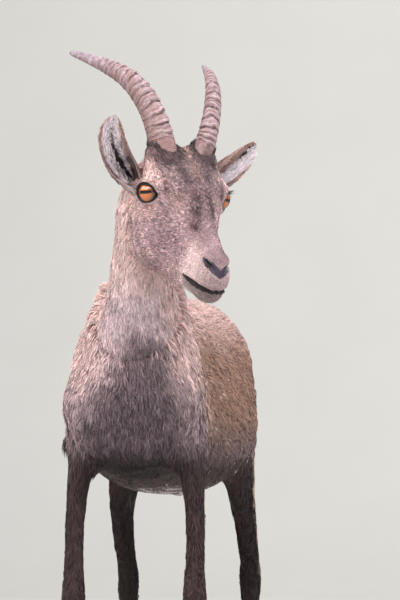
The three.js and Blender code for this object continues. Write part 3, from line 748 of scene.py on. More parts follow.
def neck_colour(points):
    turn = np.degrees(neck.turn(points))
    round_it, z = np.abs(turn), points[..., 2]
    return layered(
        ink(222, 190, 187),
        (ease(760, 820, z) * ease(20, 60, round_it), (230, 200, 196)),
        (ease(140, 170, round_it), (190, 153, 147)),
        (ease(62, 20, round_it) * ease(740, 660, z), (198, 175, 184)),
        # Painted shade on the lower left side of the neck.
        (0.6 * ease(30, 80, turn) * ease(760, 700, z), (184, 152, 150)),
        (0.9 * chest_stripe(points), (96, 77, 85)),
    )


def ear_place(points):
    """How far along an ear the points lie, how deep in its hollow, and how far off its middle line."""
    nearest = np.full(len(points), 1e9)
    place = np.zeros((3, len(points)))
    for name in ear_pose:
        for along in np.linspace(0, 1, 41):
            (here, *edges), (face, *_), _ = ear_point(name, [along] * 3, [0.0, 1.0, -1.0])
            far = np.linalg.norm(points - (here + sum(edges) / 2) / 2, axis=1)
            off = points - here
            found = np.stack([np.full(len(points), along), -(off @ face), off @ unit(edges[0] - edges[1])])
            place = np.where(far < nearest, found, place)
            nearest = np.minimum(far, nearest)
    return place


def coat_colour(points):
    """The colour of skin and hair at a point, each part's own where it has most to say, with painted shadow
    under the jaw.
    """
    share = shares(points, flesh(points))
    own = {"torso": trunk_colour(points), "neck": neck_colour(points), "head": face_colour(to_head(points))}
    own["tail"] = ink(70, 54, 52)
    own.update((name, leg_colour(points, name.split("_")[0])) for name in legs)
    # Painted shadow on the throat, just under the jaw.
    jaw_shadow_path = [(58, 50, -52), (54, 20, -86), (44, -12, -106), (30, -36, -112), (14, -60, -110)]
    return layered(
        sum(share[name][:, None] * own[name] for name in own),
        (0.6 * along_path(to_head(points), jaw_shadow_path, 10), (116, 90, 90)),
    )


def put_colour(piece, name, colours):
    layer = piece.data.attributes.new(name, "FLOAT_COLOR", "POINT")
    opaque = np.concatenate([colours, np.ones((len(colours), 1))], 1)
    layer.data.foreach_set("color", opaque.astype(np.float32).ravel())


def put_values(piece, name, values):
    layer = piece.data.attributes.new(name, "FLOAT", "POINT")
    layer.data.foreach_set("value", values.astype(np.float32))


skin_colour = coat_colour(hide_points)
skin_parts = flesh(hide_points)
off_head = np.minimum(np.minimum(skin_parts["head"], skin_parts["neck"]), skin_parts["torso"])
on_ear = (off_head > 1.5) & (hide_points[:, 2] > 700)
ear_along, ear_depth, off_stripe = ear_place(hide_points[on_ear])
inner_ear = ease(1.2, 2.0, ear_depth)
skin_colour[on_ear] = layered(
    ink(196, 160, 148),
    (ease(0.45, 0.1, ear_along), (150, 116, 106)),
    (inner_ear, (158, 138, 142)),
    (inner_ear * ease(8, 4, np.abs(off_stripe)), (40, 32, 37)),
)
pad_mask = nose_pad(to_head(hide_points)) * (skin_parts["head"] < 6)
# Painted shade in the nostrils and the groove of the mouth, where the skin lies deepest.
hollow_shade = ease(1.5, 4, -(skin_parts["head"] + 2.2)) * (to_head(hide_points)[:, 1] < -60)
skin_colour = layered(skin_colour, (pad_mask, (74, 64, 78)), (hollow_shade, (30, 22, 24)))
# Skin colours carry painted shade too, and the skin is darkened under the hair by this share as painted
# shade.
shade_under_hair = 0.82
put_colour(skin, "markings_and_shade", shade_under_hair * skin_colour)
put_values(skin, "bare", pad_mask)


def add(tree, kind, *values, **settings):
    """One shader node, its settings, and its sockets filled in order with values or links."""
    node = tree.nodes.new("ShaderNode" + kind)
    for name, value in settings.items():
        setattr(node, name, value)
    for socket, value in zip(node.inputs, values):
        if isinstance(value, bpy.types.NodeSocket):
            tree.links.new(value, socket)
        elif value is not None:
            socket.default_value = value
    return node.outputs[0]


def figure(tree, operation, *values):
    return add(tree, "Math", *values, operation=operation)


def attribute(tree, name, output="Color"):
    node = tree.nodes.new("ShaderNodeAttribute")
    node.attribute_name = name
    return node.outputs[output]


def place_on(tree):
    return tree.nodes.new("ShaderNodeTexCoord").outputs["Object"]


def blend(tree, mask, *colours):
    """Two colours mixed by a mask, each of them a link or a colour as seen."""
    return add(tree, "MixRGB", mask, *((*ink(*c), 1) if isinstance(c, tuple) else c for c in colours))


def material(name, roughness, specular=0.5):
    made = bpy.data.materials.new(name)
    made.use_nodes = True
    shader = made.node_tree.nodes["Principled BSDF"]
    shader.inputs["Roughness"].default_value = roughness
    shader.inputs["Specular IOR Level"].default_value = specular
    return made, made.node_tree, shader


def wire(value, shader, socket="Base Color"):
    shader.id_data.links.new(value, shader.inputs[socket])


def relief(tree, shader, height, strength, distance):
    bump = tree.nodes.new("ShaderNodeBump")
    bump.inputs["Strength"].default_value = strength
    bump.inputs["Distance"].default_value = distance
    tree.links.new(height, bump.inputs["Height"])
    wire(bump.outputs["Normal"], shader, "Normal")


def smooth(piece):
    piece.data.polygons.foreach_set("use_smooth", np.ones(len(piece.data.polygons), bool))


# Faint uneven tone, as in any real coat, shared by skin and hair
unevenness = bpy.data.node_groups.new("uneven tone", "ShaderNodeTree")
group_sockets = (("Colour", "INPUT", "Color"), ("Amount", "INPUT", "Float"), ("Colour", "OUTPUT", "Color"))
for label, way, kind in group_sockets:
    unevenness.interface.new_socket(label, in_out=way, socket_type="NodeSocket" + kind)
given = unevenness.nodes.new("NodeGroupInput")
result = unevenness.nodes.new("NodeGroupOutput")
mottle = add(unevenness, "TexNoise", place_on(unevenness), None, 70.0, 3.0)
swing = figure(unevenness, "MULTIPLY", figure(unevenness, "SUBTRACT", mottle, 0.5), given.outputs["Amount"])
toned = unevenness.nodes.new("ShaderNodeVectorMath")
toned.operation = "SCALE"
unevenness.links.new(given.outputs["Colour"], toned.inputs[0])
unevenness.links.new(figure(unevenness, "ADD", swing, 1.0), toned.inputs["Scale"])
unevenness.links.new(toned.outputs[0], result.inputs["Colour"])


def uneven(tree, colour, amount):
    group = tree.nodes.new("ShaderNodeGroup")
    group.node_tree = unevenness
    tree.links.new(colour, group.inputs["Colour"])
    group.inputs["Amount"].default_value = amount
    return group.outputs["Colour"]


hide_material, tree, shader = material("hide", 0.75, 0.3)
wire(uneven(tree, attribute(tree, "markings_and_shade"), 0.5), shader)
place = place_on(tree)
bare = attribute(tree, "bare", "Fac")
wire(add(tree, "MapRange", bare, 0.0, 1.0, 0.8, 0.36), shader, "Roughness")
hairs = add(tree, "TexNoise", place, None, 900.0, 4.0)
pores = add(tree, "TexVoronoi", place, None, 620.0)
relief(tree, shader, add(tree, "MixRGB", bare, hairs, pores), 0.55, 0.0008)
skin.data.materials.clear()
skin.data.materials.append(hide_material)
smooth(skin)


# Eyes. An amber ball with the level slit pupil of a goat under a clear wet cornea, set deep between
# black lid rims that are drawn out at the tear duct.
eye_material, tree, shader = material("amber eye", 0.4, 0.1)
shader.inputs["Coat Roughness"].default_value = 0.02
shader.inputs["Coat IOR"].default_value = 1.8
gaze = add(tree, "SeparateXYZ", attribute(tree, "gaze", "Vector"))
level_way, up_way = gaze, gaze.node.outputs[1]
squares = (figure(tree, "MULTIPLY", way, way) for way in (level_way, up_way))
off_centre = figure(tree, "POWER", figure(tree, "ADD", *squares), 0.5)
pupil_middle, pupil_half_wide, pupil_half_high = 0.1, 0.5, 0.135
reaches = []
for way, half in ((level_way, pupil_half_wide), (up_way, pupil_half_high)):
    share_out = figure(tree, "DIVIDE", figure(tree, "SUBTRACT", way, pupil_middle), half)
    reaches.append(figure(tree, "POWER", share_out, 4.0))
pupil = add(tree, "MapRange", figure(tree, "ADD", *reaches), 0.8, 1.5, 1.0, 0.0)
round_it = figure(tree, "ARCTAN2", level_way, up_way)
fibre_place = add(tree, "CombineXYZ", figure(tree, "MULTIPLY", round_it, 9.0), off_centre)
fibres = add(tree, "TexNoise", fibre_place, None, 3.0, 3.0)
amber = blend(tree, fibres, (186, 84, 10), (232, 132, 40))
amber = blend(tree, add(tree, "MapRange", off_centre, 0.3, 0.66, 0.0, 0.75), amber, (138, 66, 20))
ball = blend(tree, add(tree, "MapRange", off_centre, 0.6, 0.72, 0.0, 1.0), amber, (38, 24, 20))
ball = blend(tree, pupil, ball, (12, 12, 20))
# Painted shade: the ball turns brown-black where it is seen edge-on, standing in for the shade of lids and
# socket, and its wet coat fades there too.
aslant = tree.nodes.new("ShaderNodeLayerWeight")
aslant.inputs["Blend"].default_value = 0.5
edge_on = aslant.outputs["Facing"]
ball = blend(tree, add(tree, "MapRange", edge_on, 0.45, 0.75, 0.0, 0.92), ball, (30, 18, 14))
wire(ball, shader)
wire(add(tree, "MapRange", edge_on, 0.45, 0.8, 1.0, 0.1), shader, "Coat Weight")

rim_material, tree, shader = material("lid rim", 0.42, 0.35)
rim_tone = add(tree, "TexNoise", place_on(tree), None, 420.0, 2.0)
wire(blend(tree, rim_tone, (17, 14, 18), (34, 28, 33)), shader)


def finish_piece(piece, finish):
    piece.data.materials.append(finish)
    smooth(piece)
    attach(piece, "root")


def closed_piece(name, points, faces, finish):
    piece = plain_mesh(name, to_metres(points), faces)
    outward(piece)
    finish_piece(piece, finish)
    return piece


cornea, rim_steps, rim_round = 0.9, 72, 12
for side_name, side in sides.items():
    mirror = np.array([side, 1.0, 1.0])
    centre = from_head(eye_place * mirror)
    out, lids_along, lids_up = ((axis * mirror) @ head_turn.T for axis in (eye_out, eye_along, eye_up))
    level = unit(np.cross([0.0, 0.0, 1.0], out))
    upright = np.cross(out, level)
    turn = full_turn(48)[:, None]
    rings = []
    for angle in np.linspace(0.03, math.pi - 0.03, 44):
        reach = eye_radius + cornea * hump(angle, 0, 0.5)
        sideways = np.cos(turn) * level + np.sin(turn) * upright
        rings.append(centre + reach * (math.cos(angle) * out + math.sin(angle) * sideways))
    eyeball_points, eyeball_faces = loft(rings)
    eyeball = closed_piece("eyeball_" + side_name, eyeball_points, eyeball_faces, eye_material)
    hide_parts("eye_" + side_name)
    gaze_layer = eyeball.data.attributes.new("gaze", "FLOAT_VECTOR", "POINT")
    ahead = (eyeball_points - centre) @ np.array([-side * level, upright, out]).T / eye_radius
    gaze_layer.data.foreach_set("vector", ahead.astype(np.float32).ravel())
    rim_points = []
    for turn in full_turn(rim_steps):
        from_duct = (turn + math.pi) % (2 * math.pi) - math.pi
        spread = 5.6 + 2.5 * hump(from_duct, 0, 0.3)
        sideways = math.cos(turn) * lids_along + math.sin(turn) * lids_up
        for a in full_turn(rim_round):
            angle = math.radians(lid_edge(from_duct) + spread * (1 - math.cos(a)))
            reach = eye_radius + 0.9 + 1.5 * math.sin(a) + 1.0 * (1 - math.cos(a)) / 2
            rim_points.append(centre + reach * (math.cos(angle) * out + math.sin(angle) * sideways))
    rim_faces = [
        [(i + a) % rim_steps * rim_round + (j + b) % rim_round for a, b in ((0, 0), (1, 0), (1, 1), (0, 1))]
        for i in range(rim_steps)
        for j in range(rim_round)
    ]
    closed_piece("lid_rim_" + side_name, np.array(rim_points), rim_faces, rim_material)


# Horns. Each is a sheath over a bony core that sweeps up, out and back, with a knobbed ridge for each
# season on its front and fine growth lines between them. The short, slim form is a female's.
horn_place = np.array([34.0, 69.0, 64.0])
horn_form = {"left": {"length": 265, "splay": 15.8}, "right": {"length": 263, "splay": 17}}
horn_lean = profile([(0, 33), (0.5, 93), (1, 107)])
horn_radius = profile([
    (0, 23.5), (0.12, 20.6), (0.3, 17.8), (0.5, 13.8), (0.7, 10.6), (0.85, 7.8), (0.95, 5.9), (0.985, 4.6),
    (1, 2.4),
])
horn_flatness = 0.68
horn_turn = math.radians(24)
horn_ridges = [
    (0.045, 1.0), (0.1, 1.6), (0.155, 1.5), (0.215, 2.0), (0.275, 1.9), (0.33, 2.2), (0.37, 1.3),
    (0.43, 2.6), (0.475, 1.3), (0.535, 1.9), (0.59, 1.5), (0.635, 1.3), (0.675, 1.0), (0.78, 0.9),
]

horn_material, tree, shader = material("horn", 0.58, 0.4)
place = place_on(tree)
streaks = add(tree, "TexNoise", place, None, 240.0, 5.0)
fine = figure(tree, "MULTIPLY", figure(tree, "SINE", attribute(tree, "growth", "Fac")), streaks)
lined = add(tree, "MapRange", fine, 0.15, 0.7, 0.0, 0.5)
horn_tone = blend(tree, lined, attribute(tree, "sheath"), (92, 66, 62))
scratches = add(tree, "MapRange", add(tree, "TexNoise", place, None, 130.0, 8.0, 0.8), 0.49, 0.6, 0.0, 0.8)
scratched = figure(tree, "MULTIPLY", scratches, attribute(tree, "worn", "Fac"))
wire(blend(tree, scratched, horn_tone, (216, 198, 206)), shader)
relief(tree, shader, fine, 0.7, 0.0009)


def horn_way(side_name, s):
    """The way a horn grows at a share of its length, seen from the head."""
    splay = math.radians(horn_form[side_name]["splay"])
    lean = math.radians(horn_lean(np.clip(s, 0, 1)))
    flat = math.cos(splay)
    return np.array([sides[side_name] * math.sin(splay), flat * math.sin(lean), flat * math.cos(lean)])


sunk_length, stations, around = 22, 300, 48
for side_name, side in sides.items():
    small_ridges = [
        (at + 0.006 * random.normal(), random.uniform(0.15, 0.7)) for at in np.arange(0.02, 0.74, 0.027)
    ]
    horn_length = horn_form[side_name]["length"]
    lengths = np.linspace(-sunk_length, horn_length, stations)
    centre = horn_place * [side, 1, 1] - horn_way(side_name, 0) * sunk_length
    rows, tones, worn, growth = [], [], [], []
    turn = full_turn(around)
    for length, step in zip(lengths, np.diff(lengths, prepend=lengths[0])):
        s = max(length, 0) / horn_length
        way = horn_way(side_name, s)
        centre = centre + way * step
        across = unit(np.array([1.0, 0, 0]) - way * way[0])
        front = unit(np.cross(across, way) - side * math.tan(horn_turn) * across)
        across = np.cross(way, front)
        waver = 0.006 * np.sin(2 * turn + 26 * s) + 0.003 * np.sin(5 * turn + 70 * s)
        knob, crest, hollow = np.zeros((3, around))
        for at, height in horn_ridges + small_ridges:
            past = s + waver - at
            step_up = ease(-0.009, 0.002, past) * np.exp(-np.maximum(past, 0) / 0.02)
            crease = hump(past, -0.011, 0.0062) * min(1, 0.3 + 0.5 * height)
            knob = knob + 1.3 * height * step_up - 1.1 * crease
            crest = np.maximum(crest, step_up * min(1, 0.4 + 0.5 * height))
            hollow = np.maximum(hollow, crease)
        in_front = 0.3 + 0.7 * ease(-0.4, 0.8, np.cos(turn))
        reach = horn_radius(s) - 0.8 + knob * in_front
        ring = np.outer(reach * np.cos(turn), front) + np.outer(reach * horn_flatness * np.sin(turn), across)
        rows.append(from_head(centre + ring))
        crest = crest * in_front
        # Painted highlight on each ridge's crest and painted shade in the crease beneath it.
        tones.append(layered(
            ink(166, 130, 126),
            (np.full(around, ease(0.5, 0.8, s)), (160, 138, 148)),
            (0.45 * ease(0.2, -0.7, np.cos(turn)), (104, 78, 74)),
            (0.8 * crest, (204, 172, 172)),
            (0.95 * hollow * (0.4 + 0.6 * in_front), (62, 41, 38)),
        ))
        worn.append(np.clip(0.35 + 0.5 * crest + 0.4 * ease(0.6, 0.8, s), 0, 1))
        growth.append(np.full(around, length * 2.4))
    rows.append(from_head(centre + way * 1.4)[None])
    horn_points, horn_faces = loft(rows)
    horn = closed_piece("horn_sheath_" + side_name, horn_points, horn_faces, horn_material)
    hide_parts("horn_" + side_name)
    tones, worn, growth = (np.concatenate([at[0][:1], *at, at[-1][:1]]) for at in (tones, worn, growth))
    put_colour(horn, "sheath", tones)
    put_values(horn, "worn", worn)
    put_values(horn, "growth", growth)


# Hooves. Two hard black claws and two dewclaws on each foot: a leaning wall with growth rings round a
# pointed sole, its soft top pushed up into the hair of the coronet.
coronet = 38
hoof_levels = [
    (0, 16.6, 38.6, 23.0, 0), (1.2, 17.5, 40, 24, 0), (3, 18, 39.5, 24.5, 0), (12, 17.4, 34.5, 24.4, 1),
    (22, 16.6, 30, 24, 2), (31, 15.6, 24.5, 22, 3), (37, 14.8, 20.8, 20, 4), (41, 12, 15, 16, 4),
    (44, 7, 8, 9, 4),
]
dewclaw_levels = [
    (-4, 0, 6.5, 7), (1, 1.5, 6.4, 6.8), (6, 4.6, 5.6, 5.8), (10, 7.6, 4.2, 4), (12, 9, 2, 1.8)
]

hoof_material, tree, shader = material("hoof", 0.5, 0.5)
place = place_on(tree)
hoof_noise = add(tree, "TexNoise", place, None, 240.0, 4.0)
wire(blend(tree, hoof_noise, (34, 28, 26), (78, 66, 58)), shader)
relief(tree, shader, add(tree, "TexWave", place, 130.0, 1.4, 2.0, bands_direction="Z"), 0.5, 0.0006)


def claw(side, x, y):
    cleft, corners = 0.7, 40
    turn = full_turn(corners)
    rows = []
    for z, wide, toe, heel, shift in hoof_levels:
        ahead = np.cos(turn)
        fullness = 0.91 - 0.09 * np.cos(turn + 0.4)
        across = cleft + (18 - wide) / 4 + wide / 2 * (1 + np.sin(turn) * fullness)
        length = np.where(ahead > 0, toe, heel)
        level = np.full(corners, float(z))
        rows.append(np.stack([x + side * across, y + shift - length * ahead, level], -1))
    return loft(rows)


def dewclaw(x, y, z):
    corners = 16
    turn = full_turn(corners)
    rows = []
    for behind, drop, wide, high in dewclaw_levels:
        ring = [x + wide * np.cos(turn), np.full(corners, y + behind), z - drop + high * np.sin(turn)]
        rows.append(np.stack(ring, -1))
    return loft(rows)


for leg_name, leg in legs.items():
    heel_height, behind_leg = 84, 15
    heel_x, heel_y = leg.x(heel_height + 4), leg.y(heel_height + 4) + behind_leg
    points, faces, placed = [], [], 0
    outer = sides[leg_name.split("_")[1]]
    for out in (outer, -outer):
        foot = claw(out, leg.x(coronet), leg.y(coronet))
        for made, made_faces in (foot, dewclaw(heel_x + 9 * out, heel_y, heel_height)):
            faces += [[i + placed for i in face] for face in made_faces]
            points.append(made)
            placed += len(made)
    hoof = closed_piece("hooves_" + leg_name, np.concatenate(points), faces, hoof_material)
    nodes = (f"{leg_name}_{kind}_{which}" for kind in ("hoof", "dewclaw") for which in ("inner", "outer"))
    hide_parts(*nodes)


# Coat. Short thick hair in small flat tufts, each of a few tapering strands that spring from the skin
# at one root, lie along the body the way the hair grows and keep close over it to their tips.
skin.data.calc_loop_triangles()
triangles = np.empty(len(skin.data.loop_triangles) * 3, np.int32)
skin.data.loop_triangles.foreach_get("vertices", triangles)
corner_points = hide_points[triangles.reshape(-1, 3)]
first, second, third = np.moveaxis(corner_points, 1, 0)
areas = np.linalg.norm(np.cross(second - first, third - first), axis=1) / 2
middles = corner_points.mean(1)
middle_parts = flesh(middles)
part_stack = np.stack(list(middle_parts.values()), -1)
part_of = np.array(list(middle_parts))[part_stack.argmin(1)]
off_flesh = part_stack.min(1)
middle_head = to_head(middles)
eye_reach, eye_angle, eye_turn = around_eye(middle_head)
bare_lid = lid_edge(eye_turn) + 11 + 10 * ease(0.2, 0.9, np.cos(eye_turn))
haired = nose_pad(middle_head) * (middle_parts["head"] < 6) < 0.4
haired &= ~((eye_reach < 26) & (eye_angle < bare_lid))
haired &= (off_flesh < 1.5) & (off_flesh > -14)
haired &= ~((part_of == "head") & (off_flesh < -5.5) & (middle_head[:, 1] < -60))
haired &= middles[:, 2] > coronet + 3


def growth(points):
    """The way the hair lies: back over the face and trunk, down the neck, chest, thighs and legs."""
    share = shares(points, flesh(points))
    q = to_head(points)
    out = np.where(q[:, 1] > -70, 0.55, 0.25) * np.tanh(q[:, 0] / 8)
    nose_down = ease(-20, -55, q[:, 1]) * ease(24, 8, np.abs(q[:, 0])) * ease(-10, 5, q[:, 2])
    along = np.where(nose_down > 0.5, -1.0, 1.0)
    fall = -0.5 * ease(0, -40, q[:, 2]) + 0.35 * ease(20, 50, q[:, 2])
    chest = ease(-210, -300, points[:, 1])
    thigh = ease(170, 260, points[:, 1]) * ease(680, 600, points[:, 2])
    on_trunk = np.stack([
        0.35 * np.tanh(points[:, 0] / 40) * chest, 1 - 0.85 * chest - 0.5 * thigh,
        -0.28 - 0.9 * chest - 0.9 * thigh - 0.35 * ease(700, 560, points[:, 2]),
    ], -1)
    ways = {"head": unit(np.stack([out, along, fall], -1)) @ head_turn.T, "torso": unit(on_trunk)}
    ways |= {"neck": np.array([0.0, 0.3, -1.0]), "tail": np.array([0.0, 0.12, -1.0])}
    return unit(sum(weight[:, None] * ways.get(name, ways["tail"]) for name, weight in share.items()))


def ripple(points, wavelength):
    """Gentle waves through the coat that gather it in locks, from -1 to 1."""
    waves = np.random.default_rng(3).normal(size=(5, 3))
    phases = points @ unit(waves).T * (2 * math.pi / wavelength)
    return np.sin(phases + np.arange(5)).sum(-1) / 3


coat_material, tree, shader = material("coat", 0.72, 0.28)
shader.inputs["Sheen Weight"].default_value = 0.06
shader.inputs["Sheen Roughness"].default_value = 0.5
wire(uneven(tree, attribute(tree, "hair"), 0.35), shader)


def gather(roots, lie, tufts):
    """The lock each root belongs to, and how far aside from its middle the root is. Locks form round some
    of the roots, each drawing in about so many tufts, from farther along the hair than across it."""
    seeds = roots[random.permutation(len(roots))[: max(8, len(roots) // tufts)]]
    tree = KDTree(len(seeds))
    for i, seed in enumerate(seeds):
        tree.insert(seed, i)
    tree.balance()
    nearby = np.array([[found[1] for found in tree.find_n(root, 6)] for root in roots.tolist()])
    off = roots[:, None] - seeds[nearby]
    along = (off * lie[:, None]).sum(-1)
    choice = ((off**2).sum(-1) - 0.84 * along**2).argmin(1)
    rows = np.arange(len(roots))
    return nearby[rows, choice], off[rows, choice]


hair_tip_tint = np.array([1.06, 0.98, 0.94])


def tuft_mesh(name, roots, normals, lie, sizes, colours, grain, locks, chart, strands, follow=True):
    """Tufts of flat tapering strands, sized by length, lift of the tips, width and spread of the roots."""
    count = len(roots)
    length, lift, width, spread = (np.broadcast_to(np.asarray(size, float), count) for size in sizes)
    lie = unit(lie - (lie * normals).sum(1, keepdims=True) * normals)
    sideways = np.cross(lie, normals)
    lock, from_middle = locks
    draw = random.normal(size=(lock.max() + 1, 4))[lock]
    wave_length, turn_spread, length_spread, lift_spread = 34, 0.12, 0.12, 0.25
    gathered, most_gathered = 0.55, 0.3
    own_turn = 0.1 * random.normal(size=count) + turn_spread * (draw[:, 0] + ripple(roots, wave_length))
    length = length * np.exp(length_spread * draw[:, 1])
    lift = lift * np.exp(lift_spread * draw[:, 2])
    most = most_gathered * length
    draw_in = np.clip(gathered * (from_middle * sideways).sum(1), -most, most)
    tone = np.exp(grain * (0.42 * draw[:, 3] + 0.7 * random.normal(size=count).clip(-3, 1.5)))
    points, shades, places = [], [], []

    def stretched(way, *factors):
        return way * math.prod(factors)[:, None]

    for k in range(strands):
        offset = (k - (strands - 1) / 2) / max(strands - 1, 1)
        fan = own_turn + 0.3 * offset + 0.1 * random.normal(size=count)
        way = stretched(lie, np.cos(fan)) + stretched(sideways, np.sin(fan))
        wide_way = stretched(sideways, np.cos(fan)) - stretched(lie, np.sin(fan))
        roll = 0.5 * random.normal(size=count)
        half = stretched(stretched(wide_way, np.cos(roll)) + stretched(normals, np.sin(roll)), width / 2)
        start = roots + stretched(sideways, (offset + 0.25 * random.normal(size=count)) * spread)
        start = start + stretched(lie, random.uniform(-0.5, 0.5, count) * spread)
        reach = length * random.uniform(0.74, 1.1, count)
        rise = lift * random.uniform(0.6, 1.2, count)
        bend = start + stretched(way, 0.5 * reach) + stretched(normals, 0.8 * rise)
        bend = bend - stretched(sideways, 0.35 * draw_in)
        tip = start + stretched(way, reach) + stretched(normals, rise)
        tip = tip - stretched(sideways, draw_in + 0.7 * offset * spread)
        if follow:
            for target, followed in ((0.85 * rise, bend), (rise, tip)):
                for _ in range(2):
                    followed += stretched(normals, np.clip(target - skin_height(followed), -4, 6))
        start = start - normals * 0.8
        points.append(np.stack([start - half, start + half, bend + half * 0.85, bend - half * 0.85, tip], 1))
        strand_tone = tone * np.exp(grain * random.normal(size=count).clip(-3, 1.3))
        # Each strand runs from a darker root to a paler tip: partly the hair's own colour, partly painted
        # shade down among the hairs.
        root_shade, mid_shade, tip_shade = (
            stretched(colours, strand_tone * (1 + contrast * grain)) for contrast in (-1.1, 0, 1.1)
        )
        tip_shade = 0.45 * tip_shade + 0.55 * tip_shade.mean(1, keepdims=True) * hair_tip_tint
        shades.append(np.stack([root_shade, root_shade, mid_shade, mid_shade, tip_shade], 1))
        left, right = k / strands, (k + 0.8) / strands
        patch = np.array([(left, 0), (right, 0), (right, 0.5), (left, 0.5), ((left + right) / 2, 1)])
        places.append(np.broadcast_to(patch, (count, 5, 2)))
    points, shades = (np.stack(made, 1).reshape(-1, 3) for made in (points, shades))
    tuft_patch = 0.003
    places = (chart[:, None, None, :] + tuft_patch * np.stack(places, 1)).reshape(-1, 2)
    blade = np.array([(0, 1, 2), (0, 2, 3), (3, 2, 4)])
    faces = (np.arange(count * strands)[:, None, None] * 5 + blade).reshape(-1, 3)
    mesh = bpy.data.meshes.new(name)
    mesh.vertices.add(len(points))
    mesh.vertices.foreach_set("co", to_metres(points).ravel())
    mesh.loops.add(faces.size)
    mesh.loops.foreach_set("vertex_index", faces.ravel().astype(np.int32))
    mesh.polygons.add(len(faces))
    mesh.polygons.foreach_set("loop_start", np.arange(len(faces), dtype=np.int32) * 3)
    mesh.polygons.foreach_set("loop_total", np.full(len(faces), 3, np.int32))
    mesh.update(calc_edges=True)
    unwrap = mesh.uv_layers.new(name="OFBake")
    unwrap.data.foreach_set("uv", places[faces.ravel()].astype(np.float32).ravel())
    piece = bpy.data.objects.new(name, mesh)
    bpy.context.collection.objects.link(piece)
    put_colour(piece, "hair", shades)
    finish_piece(piece, coat_material)


def scatter(mask, count, closeness):
    """Roots spread evenly over the masked part of the skin, closer where closeness is higher."""
    chosen = np.flatnonzero(mask)
    total = np.cumsum(areas[chosen] * closeness[chosen])
    place = (np.arange(count) + random.uniform(0, 1, count)) / count * total[-1]
    which = chosen[np.searchsorted(total, place).clip(max=len(chosen) - 1)]
    a, b = random.uniform(0, 1, (2, count, 1))
    fold = a + b > 1
    a, b = np.where(fold, 1 - a, a), np.where(fold, 1 - b, b)
    return first[which] + a * (second - first)[which] + b * (third - first)[which]


def chart_of(part, points):
    """The root's place on the unwrapped skin of its part: along it and round it."""
    if part == "head":
        q = to_head(points)
        along, turn = q[:, 1], np.arctan2(np.abs(q[:, 0]), q[:, 2] + 12)
    elif part == "torso":
        along, turn = points[:, 1], np.arctan2(np.abs(points[:, 0]), points[:, 2] - 555)
    else:
        column = {"neck": neck, "tail": tail, **legs}[part]
        along, turn = points[:, 2], column.turn(points)
    chart = np.stack([along, turn], -1)
    low, high = chart.min(0), chart.max(0)
    return 0.01 + 0.975 * (chart - low) / (high - low)


def grow(name, part, mask, count, sizes, grain, tufts, strands=3, closeness=None):
    roots = scatter(mask & haired, count, np.ones(len(areas)) if closeness is None else closeness)
    normals = unit(skin_normal(roots)[1])
    lie = growth(roots)
    locks = gather(roots, lie, tufts)
    sizes, (grain,) = ([own(roots) if callable(own) else own for own in group] for group in (sizes, [grain]))
    straying = (0.1 if part == "head" else 0.25) * np.broadcast_to(sizes[0], count)
    stray = random.normal(size=(locks[0].max() + 1, 3))[locks[0]] + 0.5 * random.normal(size=(count, 3))
    colours = coat_colour(roots + straying[:, None] * stray)
    if name.startswith("coat_flank"):
        fleck = (random.uniform(size=count) < 0.008) & (roots[:, 2] < 640)
        colours = layered(colours, (0.8 * fleck, (236, 214, 206)))
    tuft_mesh(name, roots, normals, lie, sizes, colours, grain, locks, chart_of(part, roots), strands)


def face_length(points):
    q = to_head(points)
    by_eye = 0.35 + 0.65 * ease(22, 42, around_eye(q)[0])
    return (3.8 + 3.4 * ease(-115, -20, q[:, 1]) + 5 * ease(20, 90, q[:, 1])) * by_eye


def face_lift(points):
    return 1.0 + 0.6 * ease(50, 90, to_head(points)[:, 1])


def face_grain(points):
    q = to_head(points)
    return 0.24 + 0.2 * ease(-118, -92, q[:, 1]) + 0.1 * ease(14, 30, q[:, 2])


def leg_length(points):
    return 9 + 11 * ease(200, 430, points[:, 2])


def trunk_lift(points):
    return 3.0 + 1.6 * ease(-150, -250, points[:, 1]) - 1.2 * ease(450, 400, points[:, 2])


off_middle_line = {"head": middle_head[:, 0], "torso": middles[:, 0]}
off_middle_line["neck"] = middles[:, 0] - neck.x(middles[:, 2])
near_features = 1 + 1.3 * ease(-60, -120, middle_head[:, 1])
behind_chest, behind_flank = middles[:, 1] >= -130, middles[:, 1] >= 150
trunk_zones = (  # which part of the skin, how many tufts, their length and their unevenness
    ("chest", ~behind_chest, 14000, 19, 0.26),
    ("flank", behind_chest & ~behind_flank, 11500, 19, 0.17),
    ("rump", behind_flank, 7500, 18, 0.17),
)
# Each coat is given its count of tufts, their sizes, how uneven their tone is, and how many make a lock
for side_name, side in sides.items():
    half = {
        part: (part_of == part) & ((off > 0) == (side > 0)) for part, off in off_middle_line.items()
    }
    face_sizes = (face_length, face_lift, 0.85, 1.2)
    grow("coat_face_" + side_name, "head", half["head"], 32000, face_sizes, face_grain, 4, 2, near_features)
    grow("coat_neck_" + side_name, "neck", half["neck"], 13500, (15, 2.2, 1.5, 2.4), 0.21, 12)
    for zone, in_zone, count, length, own_grain in trunk_zones:
        label, trunk_sizes = f"coat_{zone}_{side_name}", (length, trunk_lift, 1.9, 3.2)
        grow(label, "torso", half["torso"] & in_zone, count, trunk_sizes, own_grain, 12)
for leg_name in legs:
    grow("coat_" + leg_name, leg_name, part_of == leg_name, 3800, (leg_length, 1.8, 1.6, 2.0), 0.22, 12)
grow("coat_tail", "tail", part_of == "tail", 1200, (24, 4.0, 2.0, 2.6), 0.2, 12)


